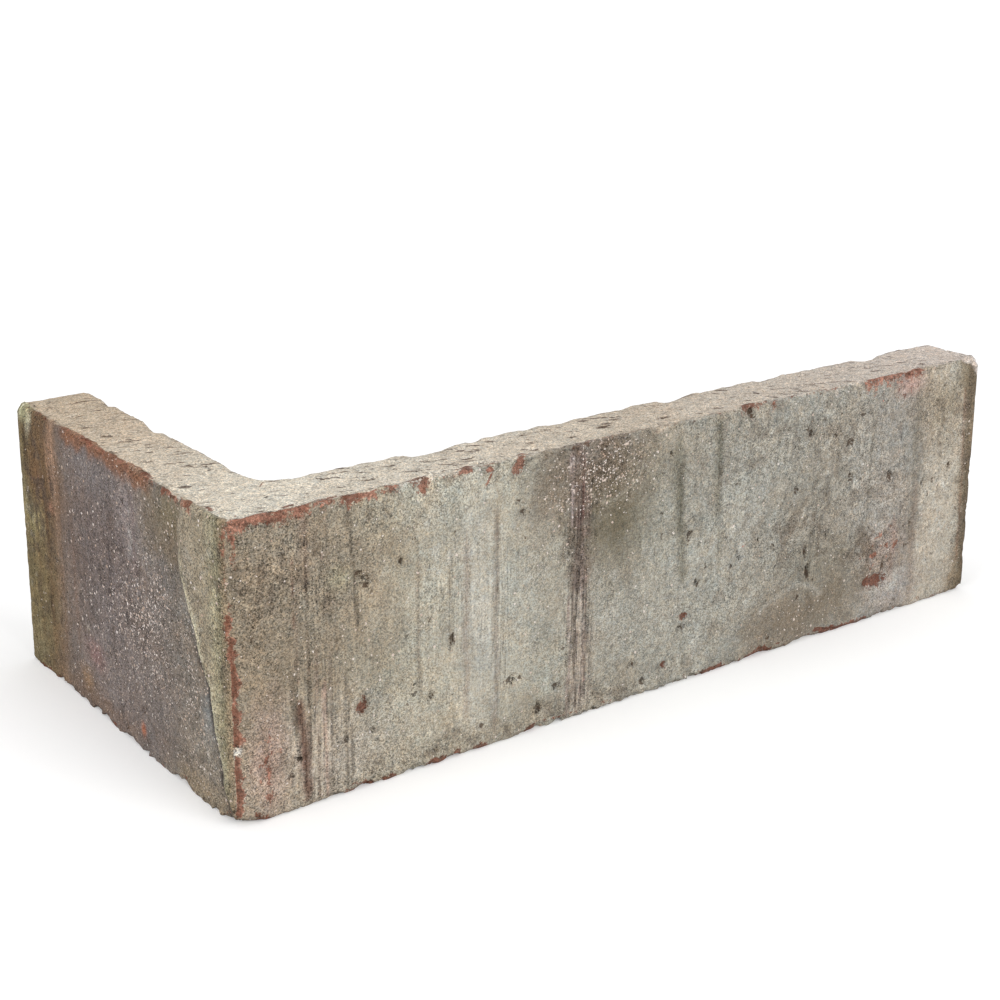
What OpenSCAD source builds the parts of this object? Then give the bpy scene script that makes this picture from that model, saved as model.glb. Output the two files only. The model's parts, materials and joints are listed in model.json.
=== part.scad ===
// Corner brick slip: an L-shaped slice sawn off the corner of a moulded and fired clay brick.
// It is one piece of clay. The two outer faces, their arrises and the end arrises are as they left
// the mould and the kiln, wavy and chipped. The two backs are sawn, flat and square to each other.
// Millimetres. The long leg runs along +X, the return along +Y and the face height along +Z. The
// origin is under the middle of the slip's bounding box, at the level that the slip stands on.

/* [Slip] */
// Length of the long leg, along the foot of its outer face
slip_length = 197; // [150:1:260]
// Length of the return, along the foot of its outer face
return_length = 92; // [60:1:130]
// Height of the outer faces, from the lower bed to the upper bed
face_height = 58; // [45:1:90]
// Thickness of both legs, from outer face to sawn back
slip_thickness = 16; // [12:0.5:25]
// How far both ends lean in over the height, as a moulded brick's ends do
end_lean = 2; // [0:0.5:4]
// Radius of clay left in the inner corner, where the two saw cuts stop short of each other
inner_radius = 6; // [1:0.5:10]

/* [Arrises] */
// Radius that wear has given the outer corner
corner_radius = 3; // [1.5:0.5:6]
// Most that wear has taken off the height of a face at its upper arris
top_wear_drop = 1.4; // [0.6:0.1:3]
// Most that wear has taken back from a face at its upper arris
top_wear_set_back = 2; // [0.6:0.1:4]
// Height of the scallops along the lower arris
scallop_rise = 1.7; // [0.4:0.1:3]
// Length of one scallop along the lower arris
scallop_length = 11; // [7:0.5:20]
// How far the lower arris is worn back from a face
foot_wear_set_back = 2.2; // [0.6:0.1:4]
// Rounding of the upright arrises at the slip's two ends
end_wear = 1; // [0.5:0.1:4]

/* [Surface] */
// Depth of the slow swells and hollows of a moulded face
face_swell = 0.35; // [0:0.05:0.8]
// Step at the fold of clay that runs down the return beside the corner
fold_step = 0.8; // [0:0.1:1.6]
// Distance of that fold from the corner, at the upper arris
fold_head = 19; // [8:0.5:30]
// Distance of that fold from the corner, at the lower arris
fold_foot = 2.5; // [0:0.5:8]

/* [Chips] */
// Depth of the deepest chip along the arrises
chip_depth = 2.2; // [0.5:0.1:4]
// Depth of the deepest spall that the saw left along the upper edge of the backs
spall_depth = 1.8; // [0:0.1:4]

/* [Hidden] */

brick_colour = [0.60, 0.57, 0.50];

// Distance between two neighbouring sections, and the rows of points up a face
section_pitch = 2.5;
face_rows = 12;
$fn = 32;
corner_sections = 6;

// The skin runs past every flat face by over_cut, and the stock block trims it back
over_cut = 0.7;
inner_depth = slip_thickness + 2;
corner_run = PI * corner_radius / 4;

// Chips of the upper arris: distance along the face from the corner, half length, share of chip_depth.
// Distances on the return are negative.
top_chips = [[125, 13, 0.75], [149, 12, 0.4], [197, 6, 0.8], [42, 4, 0.4], [-35, 6, 0.4], [-91, 7, 0.6]];
// Chips of the lower arris, in the same form
foot_chips = [[3, 5, 0.7], [136, 14, 0.45], [197, 4, 0.3], [-20, 5, 0.8], [-43, 4, 0.7], [-92, 4, 0.3]];
// Spalls of the upper inner edge: distance from the outer corner, half length, share of spall_depth
spalls = [[40, 8, 0.9], [75, 5, 0.4], [107, 5, 0.5], [137, 5, 0.3], [173, 7, 1], [-53, 7, 0.5], [-79, 5, 0.4]];

// A smooth wander between -1 and 1 along a length of arris, different for each seed
function wander(run, seed) =
    0.5 * sin(14 * run + 131 * seed) + 0.3 * sin(29 * run + 77 * seed) + 0.2 * sin(53 * run + 53 * seed);

// How much of a bump [place, half_length, share] is felt at this run: 1 at its middle, 0 past its ends
function bump(run, place, half_length) =
    abs(run - place) < half_length ? pow(cos(90 * (run - place) / half_length), 2) : 0;
function chips_at(run, chips) = max([for (c = chips) c[2] * bump(run, c[0], c[1])]);
function smooth(t) = let (u = min(max(t, 0), 1)) u * u * (3 - 2 * u);

// Run from the middle of the corner to either end of the outer line
function leg_run(length) = length + over_cut - corner_radius + corner_run;

// A station is [run, point on the outer line, point on the inner line]
function inner_point(run) = run < 0
    ? [inner_depth, inner_depth - run * (return_length + over_cut - inner_depth) / leg_run(return_length)]
    : [inner_depth + run * (slip_length + over_cut - inner_depth) / leg_run(slip_length), inner_depth];
function return_station(y) = let (run = -(y - corner_radius + corner_run)) [run, [0, y], inner_point(run)];
function corner_station(angle) = let (run = (angle - 225) / 45 * corner_run)
    [run, corner_radius * [1 + cos(angle), 1 + sin(angle)], inner_point(run)];
function long_station(x) = let (run = x - corner_radius + corner_run) [run, [x, 0], inner_point(run)];

return_sections = ceil((return_length + over_cut - corner_radius) / section_pitch);
long_sections = ceil((slip_length + over_cut - corner_radius) / section_pitch);
stations = concat(
    [for (i = [return_sections:-1:1])
        return_station(corner_radius + (return_length + over_cut - corner_radius) * i / return_sections)],
    [for (i = [0:corner_sections]) corner_station(180 + 90 * i / corner_sections)],
    [for (i = [1:long_sections])
        long_station(corner_radius + (slip_length + over_cut - corner_radius) * i / long_sections)]
);

// How near a station is, at height z, to an end of the slip: 0 away from it, 1 at the end
function end_nearness(run, z) =
    let (left = (run < 0 ? leg_run(return_length) : leg_run(slip_length)) - end_lean * z / face_height - abs(run))
    pow(min(1, max(0, 1 - left / (end_wear + over_cut))), 2);

// Depth of the face behind its straight outer line: swells, the step at the fold, the worn ends
function fold_place(z) = fold_foot + (fold_head - fold_foot) * pow(z / face_height, 1.3);
function fold_at(run, z) = run < 0 ? fold_step * smooth((-run - fold_place(z)) / 3 + 0.5) : 0;
function swell_at(run, z) =
    face_swell * (0.5 + 0.35 * wander(run / 2.6 + z / 9, 4) + 0.15 * wander(z + run / 3, 5));
function face_depth(run, z) = swell_at(run, z) + fold_at(run, z) + end_wear * end_nearness(run, z);

// Drop of the upper arris, rise of the lower one, and how far each is worn back
function top_drop(run) = top_wear_drop * (0.62 + 0.38 * wander(run, 1))
    + chip_depth * chips_at(run, top_chips) + end_wear * end_nearness(run, face_height);
function top_set_back(run) = top_wear_set_back * (0.62 + 0.38 * wander(run, 2))
    + chip_depth * 1.2 * chips_at(run, top_chips);
function foot_rise(run) =
    scallop_rise * (0.25 + 0.55 * abs(sin(180 * run / scallop_length + 50 * wander(run, 3))) + 0.2 * wander(run, 6))
        * (run < 0 ? 1 : 0.7)
    + chip_depth * chips_at(run, foot_chips) + end_wear * end_nearness(run, 0);
function foot_set_back(run) = foot_wear_set_back * (0.62 + 0.38 * wander(run, 7))
    + chip_depth * chips_at(run, foot_chips);

// Closed section at a station, as [depth behind the outer line, height]
arris_steps = [0.35, 0.7, 1];
function section(run) =
    let (
        low = foot_rise(run),
        high = face_height - top_drop(run),
        foot_back = foot_set_back(run),
        top_back = top_set_back(run),
        spall = spall_depth * chips_at(run, spalls)
    )
    concat(
        [for (i = [2:-1:0]) let (t = arris_steps[i])
            [face_depth(run, low) + foot_back * t * t, low - (low + over_cut) * t]],
        [for (i = [0:face_rows]) let (z = low + (high - low) * i / face_rows) [face_depth(run, z), z]],
        [for (t = arris_steps)
            [face_depth(run, high) + top_back * t * t, high + (face_height + over_cut - high) * t]],
        [
            [slip_thickness / 2, face_height + 2 * over_cut],
            [slip_thickness - 1 - spall, face_height + over_cut],
            [inner_depth, face_height + over_cut - 2 * spall],
            [inner_depth, -over_cut],
            [slip_thickness / 2, -2 * over_cut]
        ]
    );

// A section's points in space, placed between the station's outer and inner points
function section_points(station) = [
    for (p = section(station[0]))
        let (xy = station[1] + (station[2] - station[1]) * p[0] / inner_depth) [xy[0], xy[1], p[1]]
];
function centre_of(points) = [for (k = [0:2]) [for (p = points) p[k]] * [for (p = points) 1 / len(points)]];

module worn_skin() {
    rings = [for (s = stations) section_points(s)];
    n = len(rings[0]);
    last = len(rings) - 1;
    points = concat([for (ring = rings) each ring], [centre_of(rings[0]), centre_of(rings[last])]);
    walls = [for (i = [0:last - 1], j = [0:n - 1]) let (k = (j + 1) % n)
        each [[i * n + j, i * n + k, (i + 1) * n + k], [i * n + j, (i + 1) * n + k, (i + 1) * n + j]]];
    caps = [for (j = [0:n - 1]) let (k = (j + 1) % n)
        each [[(last + 1) * n, k, j], [(last + 1) * n + 1, last * n + j, last * n + k]]];
    polyhedron(points, concat(walls, caps));
}

// The brick's corner as the saw and the beds leave it: exact backs, leaning ends, level beds, and room
// outside the faces
module stock_block() {
    room = 5;
    leg_room = [slip_length + room, return_length + room];
    intersection() {
        linear_extrude(face_height)
            difference() {
                translate([-room, -room]) square(leg_room);
                offset(inner_radius) offset(-inner_radius)
                    translate([slip_thickness, slip_thickness]) square(slip_length);
            }
        translate([-room, -room, 0])
            linear_extrude(face_height, scale = [for (side = leg_room) (side - end_lean) / side])
                square(leg_room);
    }
}

module corner_slip() {
    color(brick_colour)
        translate([-slip_length / 2, -return_length / 2, 0])
            intersection() {
                worn_skin();
                stock_block();
            }
}

corner_slip();
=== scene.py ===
# %% [markdown]
# # A worn corner brick slip
# A corner slip is an L-shaped slice sawn off the corner of an old clay brick, so that a wall clad with
# slips looks like whole bricks at its corners. This lesson dresses the plain CAD solid with everything
# that makes the brick look old: a grey lime bloom, a scorched return, crumbled arrises with the red clay
# showing, run marks, pits and grit.
#
# The frame comes first.

# %% Load the frame
import json
import math

import bpy
import numpy as np
from mathutils import Matrix, Vector


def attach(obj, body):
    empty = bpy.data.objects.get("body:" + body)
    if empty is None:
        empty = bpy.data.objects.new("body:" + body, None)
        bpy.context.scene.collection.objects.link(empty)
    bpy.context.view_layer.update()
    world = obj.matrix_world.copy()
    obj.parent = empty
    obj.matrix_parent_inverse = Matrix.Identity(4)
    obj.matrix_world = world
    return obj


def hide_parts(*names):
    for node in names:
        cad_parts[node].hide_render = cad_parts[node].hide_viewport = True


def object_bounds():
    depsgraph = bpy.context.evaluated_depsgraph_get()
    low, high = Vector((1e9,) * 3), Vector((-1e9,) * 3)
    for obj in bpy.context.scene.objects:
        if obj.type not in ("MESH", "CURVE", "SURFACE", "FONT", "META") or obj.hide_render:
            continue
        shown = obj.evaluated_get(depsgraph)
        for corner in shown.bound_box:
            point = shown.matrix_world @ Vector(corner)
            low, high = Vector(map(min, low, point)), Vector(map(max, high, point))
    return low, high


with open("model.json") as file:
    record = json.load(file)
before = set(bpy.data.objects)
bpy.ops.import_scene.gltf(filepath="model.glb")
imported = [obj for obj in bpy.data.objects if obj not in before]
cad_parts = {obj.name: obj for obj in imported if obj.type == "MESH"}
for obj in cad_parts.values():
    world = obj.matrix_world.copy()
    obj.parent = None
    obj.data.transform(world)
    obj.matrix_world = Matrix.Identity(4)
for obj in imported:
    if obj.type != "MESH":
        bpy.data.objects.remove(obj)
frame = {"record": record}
cad_low, cad_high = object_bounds()
print("CAD box in mm:", [round(1000 * side, 1) for side in cad_high - cad_low])

# %% [markdown]
# Sizes are worked out in millimetres, because a brick's features are easiest to picture that way, and
# turned into metres when the mesh is made. Length, return and height come from the frame. The thickness
# is how far the CAD solid's sawn backs lie behind its outer faces.

# %% Sizes of the slip in millimetres
MM = 0.001
LENGTH, RETURN, HEIGHT = (1000 * side for side in cad_high - cad_low)
mounts = {m["name"]: m for m in frame["record"]["mounts"]}
THICKNESS = 1000 * (mounts["long_back"]["pos_m"][1] - cad_low[1])
END_LEAN = 1.2
INNER_RADIUS = 6.0
CORNER = np.array([1000 * cad_low[0], 1000 * cad_low[1]])
print(f"legs {LENGTH:.1f} and {RETURN:.1f} mm, height {HEIGHT:.1f} mm, thickness {THICKNESS:.1f} mm")

# %% [markdown]
# Almost everything on a brick is uneven, and the unevenness has a size: swells of a hand's breadth,
# hollows of a finger, grains of sand. One function gives all of them. It puts a random number on each
# corner of a grid of cubes and blends the eight numbers round a point smoothly, which is called value
# noise. The random numbers come from mixing up the cube's own place, so every run gives the same brick.


# %% Noise
def lattice_random(i, j, k, seed):
    """A fixed random number from 0 to 1 for each cube corner: its whole-number place, multiplied and folded."""
    h = (i * 374761393 + j * 668265263 + k * 1103515245 + seed * 362437) & 0xFFFFFFFF
    h = ((h ^ (h >> 13)) * 1274126177) & 0xFFFFFFFF
    return ((h ^ (h >> 16)) & 0xFFFFFF) / float(0xFFFFFF)


def noise(points, size, seed):
    """Value noise from -1 to 1: random corner numbers blended with the weight 3t^2 - 2t^3 along each axis.
    size is one cube's edge, the same for all axes or one for each."""
    p = np.asarray(points, float) / size + 1000.0
    cell = np.floor(p).astype(np.int64)
    t = p - cell
    t = t * t * (3 - 2 * t)
    total = np.zeros(p.shape[:-1])
    for a in (0, 1):
        for b in (0, 1):
            for c in (0, 1):
                weight = (t[..., 0] if a else 1 - t[..., 0]) * (t[..., 1] if b else 1 - t[..., 1])
                weight = weight * (t[..., 2] if c else 1 - t[..., 2])
                total += weight * lattice_random(cell[..., 0] + a, cell[..., 1] + b, cell[..., 2] + c, seed)
    return 2 * total - 1


def rough(points, size, seed, octaves=3, gain=0.55):
    """Noise on noise: each octave is half as wide as the last, and gain times as strong."""
    size = np.asarray(size, float)
    total = sum(gain**n * noise(points, size / 2**n, seed + 17 * n) for n in range(octaves))
    return total / sum(gain**n for n in range(octaves))


def smoothstep(low, high, value):
    """0 below low, 1 above high, and 3t^2 - 2t^3 between them."""
    t = np.clip((value - low) / (high - low), 0, 1)
    return t * t * (3 - 2 * t)


trial = rough(np.random.default_rng(1).uniform(0, 50, (2000, 3)), 5.0, 3)
print(f"noise runs from {trial.min():.2f} to {trial.max():.2f}")

# %% [markdown]
# The slip is one surface: a closed section, carried along an L-shaped path round the outer corner. A
# station of the path has a point on the outer line, which is rounded at the corner, and a point on the
# inner line, where the two sawn backs meet. `run` is the distance along the outer faces from the corner,
# negative on the return and positive on the long leg.

# %% Stations along the path
PITCH = 0.55
CORNER_RADIUS = 3.0
corner_run = math.pi * CORNER_RADIUS / 4


def stations():
    """run, outer points and inner points: straight legs, joined by a quarter circle on the outer line.
    The inner points share out each inner leg in step with the outer one."""
    half_return = RETURN - CORNER_RADIUS + corner_run
    half_long = LENGTH - CORNER_RADIUS + corner_run
    run = np.concatenate([
        -np.linspace(half_return, corner_run, round((RETURN - CORNER_RADIUS) / PITCH), endpoint=False),
        np.linspace(-corner_run, corner_run, 11),
        np.linspace(half_long, corner_run, round((LENGTH - CORNER_RADIUS) / PITCH), endpoint=False)[::-1],
    ])
    turn = np.clip(run / corner_run, -1, 1) * math.pi / 4 + 1.25 * math.pi
    outer = CORNER_RADIUS * (1 + np.stack([np.cos(turn), np.sin(turn)], 1))
    outer[:, 1] += np.clip(-run - corner_run, 0, None)
    outer[:, 0] += np.clip(run - corner_run, 0, None)
    inner = np.full_like(outer, THICKNESS)
    inner[:, 1] += np.clip(-run, 0, None) * (RETURN - THICKNESS) / half_return
    inner[:, 0] += np.clip(run, 0, None) * (LENGTH - THICKNESS) / half_long
    return run, outer, inner


run, outer_line, inner_line = stations()
# Distance from the corner as a tape on the face would give it, up to the two ends
tape = np.where(run < 0, -outer_line[:, 1], outer_line[:, 0])
print(f"{len(run)} stations, tape from {tape.min():.1f} to {tape.max():.1f} mm")

# %% [markdown]
# Worn arrises. The upper and lower arris of each face have crumbled back, more in some places than in
# others. A list of notches gives the places that can be told apart: where along the face, how long, and
# how deep. Between them the wear wanders. The lower arris has scallops, where the clay tore as the mould
# was lifted.

# %% Wear along the arrises
# Notches: place on the tape, half length, depth, all in millimetres
TOP_NOTCHES = [(125, 14, 1.5), (149, 12, 0.8), (196, 5, 1.3), (41, 3, 0.8), (62, 2.5, 0.6),
               (-35, 6, 0.9), (-91, 4, 0.6), (-55, 3, 0.4)]
FOOT_NOTCHES = [(-0.5, 7, 2.2), (66, 3, 0.9), (129, 7, 1.0), (143.5, 7, 1.3), (170, 3, 0.4), (195, 3, 0.6),
                (-21, 4, 1.5), (-43, 4, 1.2), (-54.5, 2.5, 0.8), (-65.5, 3, 1.0), (-77.4, 3, 0.7)]


def notches_at(place, notches):
    """The deepest notch felt at each place: depth times a cosine bell over the notch's length."""
    depth = np.zeros_like(place)
    for middle, half, deepest in notches:
        inside = np.clip(1 - np.abs(place - middle) / half, 0, 1)
        depth = np.maximum(depth, deepest * smoothstep(0, 1, inside))
    return depth


def along(size, seed, octaves=3):
    """Noise along the path only, from -1 to 1, one number for each station."""
    line = np.stack([tape, np.zeros_like(tape), np.zeros_like(tape)], 1)
    return rough(line, size, seed, octaves)


end_gap = np.minimum(RETURN + np.minimum(tape, 0), LENGTH - np.maximum(tape, 0))
end_round = np.clip(1 - end_gap / 1.4, 0, 1) ** 2
scallop = np.abs(np.sin(np.pi * tape / 11 + 1.4 * along(14, 5, 2)))
top_drop = (0.5 + 0.35 * along(9, 1) + 0.7 * np.abs(along(2.4, 2)) + notches_at(tape, TOP_NOTCHES)
            + 0.5 * end_round)
top_back = 1.2 + 0.5 * along(7, 3) + 0.4 * along(2, 4) + 0.9 * notches_at(tape, TOP_NOTCHES)
foot_rise = (np.where(tape < 0, 0.0, 0.7) + np.where(tape < 0, 0.3, 0.4) * scallop
             + np.where(tape < 0, 0.3, 0.45) * np.abs(along(2.2, 6)) + notches_at(tape, FOOT_NOTCHES) + 0.3 * end_round)
foot_back = (np.where(tape < 0, 0.6, 1.4) * (1 + 0.4 * along(6, 7) + 0.3 * along(2, 8))
             + 0.8 * notches_at(tape, FOOT_NOTCHES))
print(f"upper arris worn {top_drop.mean():.1f} mm on average, lower arris {foot_rise.mean():.1f} mm")

# %% [markdown]
# The section is a loop of points, each with a depth behind the outer face and a height. It starts under
# the lower arris, climbs the face, turns over the upper arris, crosses the upper bed, goes down the sawn
# back and comes home under the lower bed. A worn arris is a parabola: it leaves the face upright and
# reaches the bed at a slant, as a crumbled edge does. Rows are close together on the outer face and wide
# apart on the sawn back, where there is little to see.

# %% The section carried along the path
FACE_ROWS = 104
ARRIS_ROWS = 7
BED_ROWS = 27
BACK_ROWS = 13
UNDER_ROWS = 9
OVER = 0.5


def section():
    """depth and height of each point of each station's loop, as two arrays of stations by loop points."""
    n = len(run)
    arris = np.linspace(0, 1, ARRIS_ROWS + 1)[None, 1:]
    low, high = foot_rise[:, None], HEIGHT - top_drop[:, None]
    foot_depth = foot_back[:, None] * arris[:, ::-1] ** 2
    foot_height = low - (low + OVER) * arris[:, ::-1]
    up = np.linspace(0, 1, FACE_ROWS + 1)[None, :]
    face_height = low + (high - low) * up
    top_depth = top_back[:, None] * arris**2
    top_height = high + (HEIGHT + OVER - high) * arris
    across = np.linspace(0, 1, BED_ROWS + 1)[None, 1:]
    bed_depth = top_back[:, None] + (THICKNESS - top_back[:, None]) * across
    down = np.linspace(1, 0, BACK_ROWS + 1)[None, 1:]
    home = np.linspace(0, 1, UNDER_ROWS + 1)[None, 1:-1]
    under_depth = THICKNESS + (foot_back[:, None] - THICKNESS) * home
    ones = np.ones((n, 1))
    depth = np.hstack([foot_depth, np.zeros_like(face_height), top_depth, bed_depth,
                       THICKNESS * ones * np.ones_like(down), under_depth])
    height = np.hstack([foot_height, face_height, top_height, HEIGHT * np.ones_like(bed_depth),
                        HEIGHT * ones * down, np.zeros_like(under_depth)])
    return depth, np.clip(height, 0, HEIGHT)


depth, height = section()
counts = [ARRIS_ROWS, FACE_ROWS + 1, ARRIS_ROWS, BED_ROWS, BACK_ROWS, UNDER_ROWS - 1]
marks = np.cumsum([0] + counts)
loop = depth.shape[1]
column = np.arange(loop)[None, :]
on_foot = (column < marks[1]) * np.ones_like(depth)
on_face = ((column >= marks[1]) & (column < marks[2])) * np.ones_like(depth)
on_top_arris = ((column >= marks[2]) & (column < marks[3])) * np.ones_like(depth)
on_bed = ((column >= marks[3]) & (column < marks[4])) * np.ones_like(depth)
on_back = ((column >= marks[4]) & (column < marks[5])) * np.ones_like(depth)
on_under = (column >= marks[5]) * np.ones_like(depth)
print(f"{depth.shape[0]} stations of {loop} points, {2 * depth.size} triangles along the path")

# %% [markdown]
# Places on the outer faces are written as a tape measure gives them: `u` along the face from the corner,
# negative on the return, and `z` up from the lower bed. Every mark of the brick is a shape in these two
# numbers. A ramp is 1 in the middle of a mark, 0.5 on its edge and 0 far outside, so that the same ramp
# can both dent the surface and, cut at 0.5 in the material, give a crisp edge to a colour.

# %% Shapes of marks on the faces
U = tape[:, None] + 0 * height
Z = height
spots = np.stack([U, Z, depth], -1)
rag = rough(spots, 2.2, 21, 3)
drift = noise(spots * np.array([0, 1, 0]), 9.0, 31)


def oval(u, z, half_u, half_z, lean=0.0, ragged=0.25):
    """Ramp of an oval: 1 - r/2, where r is the distance in half widths. lean shifts it sideways with height."""
    r = np.hypot((U - u - lean * (Z - z)) / half_u, (Z - z) / half_z) + ragged * rag
    return np.clip(1 - r / 2, 0, 1)


def streak(u, z_low, z_high, width, lean=0.0, ragged=0.35, wander=0.4, seed=0):
    """Ramp of an upright run mark: as oval across, constant along, and tapered to nothing at both ends."""
    line = u + lean * (Z - z_low) + wander * noise(np.stack([0 * Z, Z, 0 * Z + seed], -1), 6.0, 40)
    ends = np.clip(np.minimum(Z - z_low, z_high - Z) / 3 + 0.5, 0.05, 1)
    r = np.abs(U - line) / (width / 2 * ends) + ragged * rag + 2 * np.clip(0.3 - ends, 0, 1)
    return np.clip(1 - r / 2, 0, 1)


def soft(ramp, power=1.0):
    """A ramp made into a soft weight: 0 at twice the edge, 1 in the middle."""
    return smoothstep(0, 1, ramp) ** power


print("a 10 mm oval covers", int((oval(100, 30, 5, 5) > 0.5).sum()), "points")

# %% [markdown]
# The fold. On the return, clay was pushed over the corner as the brick was thrown in its mould, and lies
# there as a skin with a free edge that runs from the upper arris down to the corner's foot. The face
# beyond it is deeper by most of a millimetre, and its edge is the best-lit line on the return.

# %% The fold of clay beside the corner
FOLD_LINE = [(0, -1.0), (8, -4.0), (12, -5.0), (16, -6.3), (20, -7.0), (25, -7.8), (28, -10.4), (31, -12.3),
             (35, -13.0), (39, -15.0), (43, -17.2), (50, -17.8), (58, -16.0)]
FOLD_STEP = 0.9
fold_z, fold_u = np.array(FOLD_LINE, float).T
fold_edge = np.interp(Z, fold_z, fold_u) + 0.7 * noise(spots, 3.5, 51)
beyond = smoothstep(-0.5, 0.5, (fold_edge - U) / 1.1)
fold_strength = np.interp(Z, [0, 12, 30, 42, 50, 58], [0.8, 1.0, 0.8, 0.5, 0.3, 0.1])
fold_depth = FOLD_STEP * beyond * fold_strength * np.exp(-np.clip(fold_edge - U, 0, None) / 22)
fold_depth = fold_depth - 0.4 * np.exp(-(((U - fold_edge - 1.0) / 1.0) ** 2)) * (U < 1)
print(f"the fold's step is {fold_depth.max():.2f} mm at most")

# %% [markdown]
# Pits, chips and scratches cut into the face. The larger ones are placed where the brick has them, and
# the many small ones are strewn by a seeded random generator, denser on the long face.

# %% Pits and chips
# Pits: u, z, half width, half height, depth
PITS = [(35.2, 43.3, 0.6, 1.2, 0.9), (46.7, 25.0, 0.5, 1.4, 0.9), (41.8, 14.6, 0.8, 1.0, 0.8),
        (28.7, 11.2, 0.6, 0.6, 0.7), (23.0, 11.0, 0.6, 1.0, 0.8), (12.7, 9.9, 0.8, 0.6, 0.9),
        (11.4, 7.1, 0.6, 0.6, 0.7), (67.5, 4.7, 0.7, 1.4, 0.9), (71.9, 8.4, 1.3, 0.6, 0.7),
        (91.6, 7.6, 0.7, 0.6, 0.7), (95.1, 3.1, 0.7, 0.8, 0.9), (106.8, 33.1, 0.9, 1.4, 0.9),
        (105.4, 12.8, 0.9, 0.6, 0.8), (109.2, 21.9, 0.6, 1.0, 0.8), (141.8, 48.9, 0.8, 0.9, 0.7),
        (154.0, 44.9, 0.9, 1.1, 0.6), (158.0, 50.7, 0.9, 0.9, 0.7), (154.8, 36.6, 0.5, 1.1, 0.9),
        (167.9, 34.1, 0.6, 1.2, 0.8), (137.9, 36.7, 0.7, 1.0, 0.8), (142.9, 17.0, 0.5, 1.5, 1.0),
        (141.9, 21.5, 0.5, 1.3, 0.8), (148.3, 24.1, 0.6, 0.9, 0.7), (143.8, 25.6, 0.6, 0.8, 0.7),
        (127.1, 27.8, 0.4, 0.6, 0.7), (121.4, 24.9, 0.5, 0.6, 0.7), (167.8, 12.6, 0.6, 1.1, 0.8),
        (179.9, 30.6, 0.5, 0.9, 0.7), (189.0, 33.2, 0.6, 0.6, 0.8), (27.2, 40.3, 1.0, 0.7, 0.7), (27.0, 41.9, 1.1, 0.6, 0.7),
        (26.2, 43.0, 0.7, 0.8, 0.7), (123.2, 56.4, 1.0, 1.0, 1.6), (60.5, 13.0, 1.2, 0.9, 0.4),
        (62.0, 49.4, 0.6, 0.5, 0.6), (63.2, 47.2, 0.7, 0.5, 0.6), (-37.2, 8.8, 0.7, 0.8, 0.9), (-61.7, 13.1, 0.5, 1.3, 0.8), (-47.0, 31.0, 0.5, 0.7, 0.5)]
# Chips with bare clay: u, z, half width, half height, depth, lean
CHIPS = [(26.6, 16.6, 1.3, 1.2, 0.7, 0.0), (26.9, 18.1, 0.4, 1.0, 0.6, 0.0), (165.6, 9.3, 3.2, 1.7, 0.8, 0.0),
         (163.2, 9.6, 1.6, 1.3, 0.7, 0.0), (105.9, 15.2, 1.3, 0.8, 0.6, 0.0),
         (100.8, 5.4, 0.7, 0.7, 0.6, 0.0), (62.3, 56.4, 1.4, 1.8, 0.7, 0.5),
         (40.5, 56.6, 1.2, 1.5, 0.6, 0.2), (49.6, 57.6, 2.0, 0.5, 0.4, 0.0), (55.4, 57.0, 0.9, 0.5, 0.4, 0.0),
         (55.4, 55.2, 0.4, 1.6, 0.3, 0.6)]


def strewn(seed, count, u_low, u_high, smallest, largest):
    """Random pits: places spread evenly, sizes skewed to the small end, some drawn out upright."""
    draw = np.random.default_rng(seed)
    u, z = draw.uniform(u_low, u_high, count), draw.uniform(2, HEIGHT - 2, count)
    size = smallest + (largest - smallest) * draw.random(count) ** 2.5
    tall = size * draw.uniform(0.8, 2.2, count)
    return list(zip(u, z, size, tall, 1.2 * size))


pit_ramp = np.zeros_like(U)
cut = np.zeros_like(U)
for u, z, half_u, half_z, deep in PITS + strewn(5, 90, 1, LENGTH - 2, 0.15, 0.4) + strewn(6, 30, 2 - RETURN, -18, 0.15, 0.4):
    ramp = oval(u, z, 1.1 * half_u, 1.1 * half_z, ragged=0.6)
    pit_ramp = np.maximum(pit_ramp, ramp)
    cut = np.maximum(cut, deep * smoothstep(0.35, 0.8, ramp))
chip_ramp = np.zeros_like(U)
into_bed = np.clip(1.6 - depth / 1.6, 0, 1) * on_bed + (1 - on_bed)
for u, z, half_u, half_z, deep, lean in CHIPS:
    ramp = oval(u, z, half_u, half_z, lean, ragged=0.3) * into_bed
    chip_ramp = np.maximum(chip_ramp, ramp)
    cut = np.maximum(cut, deep * smoothstep(0.4, 0.6, ramp))
print(f"{(pit_ramp > 0.5).sum()} points in pits, {(chip_ramp > 0.5).sum()} in chips")

# %% [markdown]
# Now the surface moves. The outer faces swell slowly and have a skin of sand, the upper bed is rougher,
# with small tears that all lie one way, and the sawn backs only have the saw's fine ridges. Everything
# moves straight into the slip from the outer face, or down from the bed, so no two parts can cross.

# %% Relief of each side
outer_side = on_face + on_foot + on_top_arris
to_top = np.hypot(depth * (on_top_arris + on_bed), HEIGHT - Z)
to_foot = np.hypot(depth * on_foot, Z)
near_arris = np.exp(-((to_top / 1.5) ** 2)) + np.exp(-((to_foot / 1.3) ** 2)) * (on_face + on_foot)
crumb_noise = rough(spots, 2.6, 66, 3, 0.7)
crumbs = near_arris * smoothstep(0.0, 0.5, crumb_noise)
swell = 0.08 + 0.25 * (1 + noise(spots, 28.0, 61)) / 2 * smoothstep(0, 12, end_gap)[:, None]
swell = swell + 0.16 * (1 + rough(spots, 5.0, 62)) / 2
swell = swell * np.clip(end_gap / 5, 0.2, 1)[:, None]
skin = 0.13 * rough(spots, 1.3, 63, 2) * np.clip(end_gap / 3, 0.2, 1)[:, None]
face_in = swell + skin + fold_depth + cut + 0.1 * end_round[:, None]
depth_now = depth + outer_side * (face_in + 0.7 * crumbs)
depth_now += (on_foot + on_top_arris) * 0.35 * rough(spots, 1.6, 64, 2)
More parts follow.
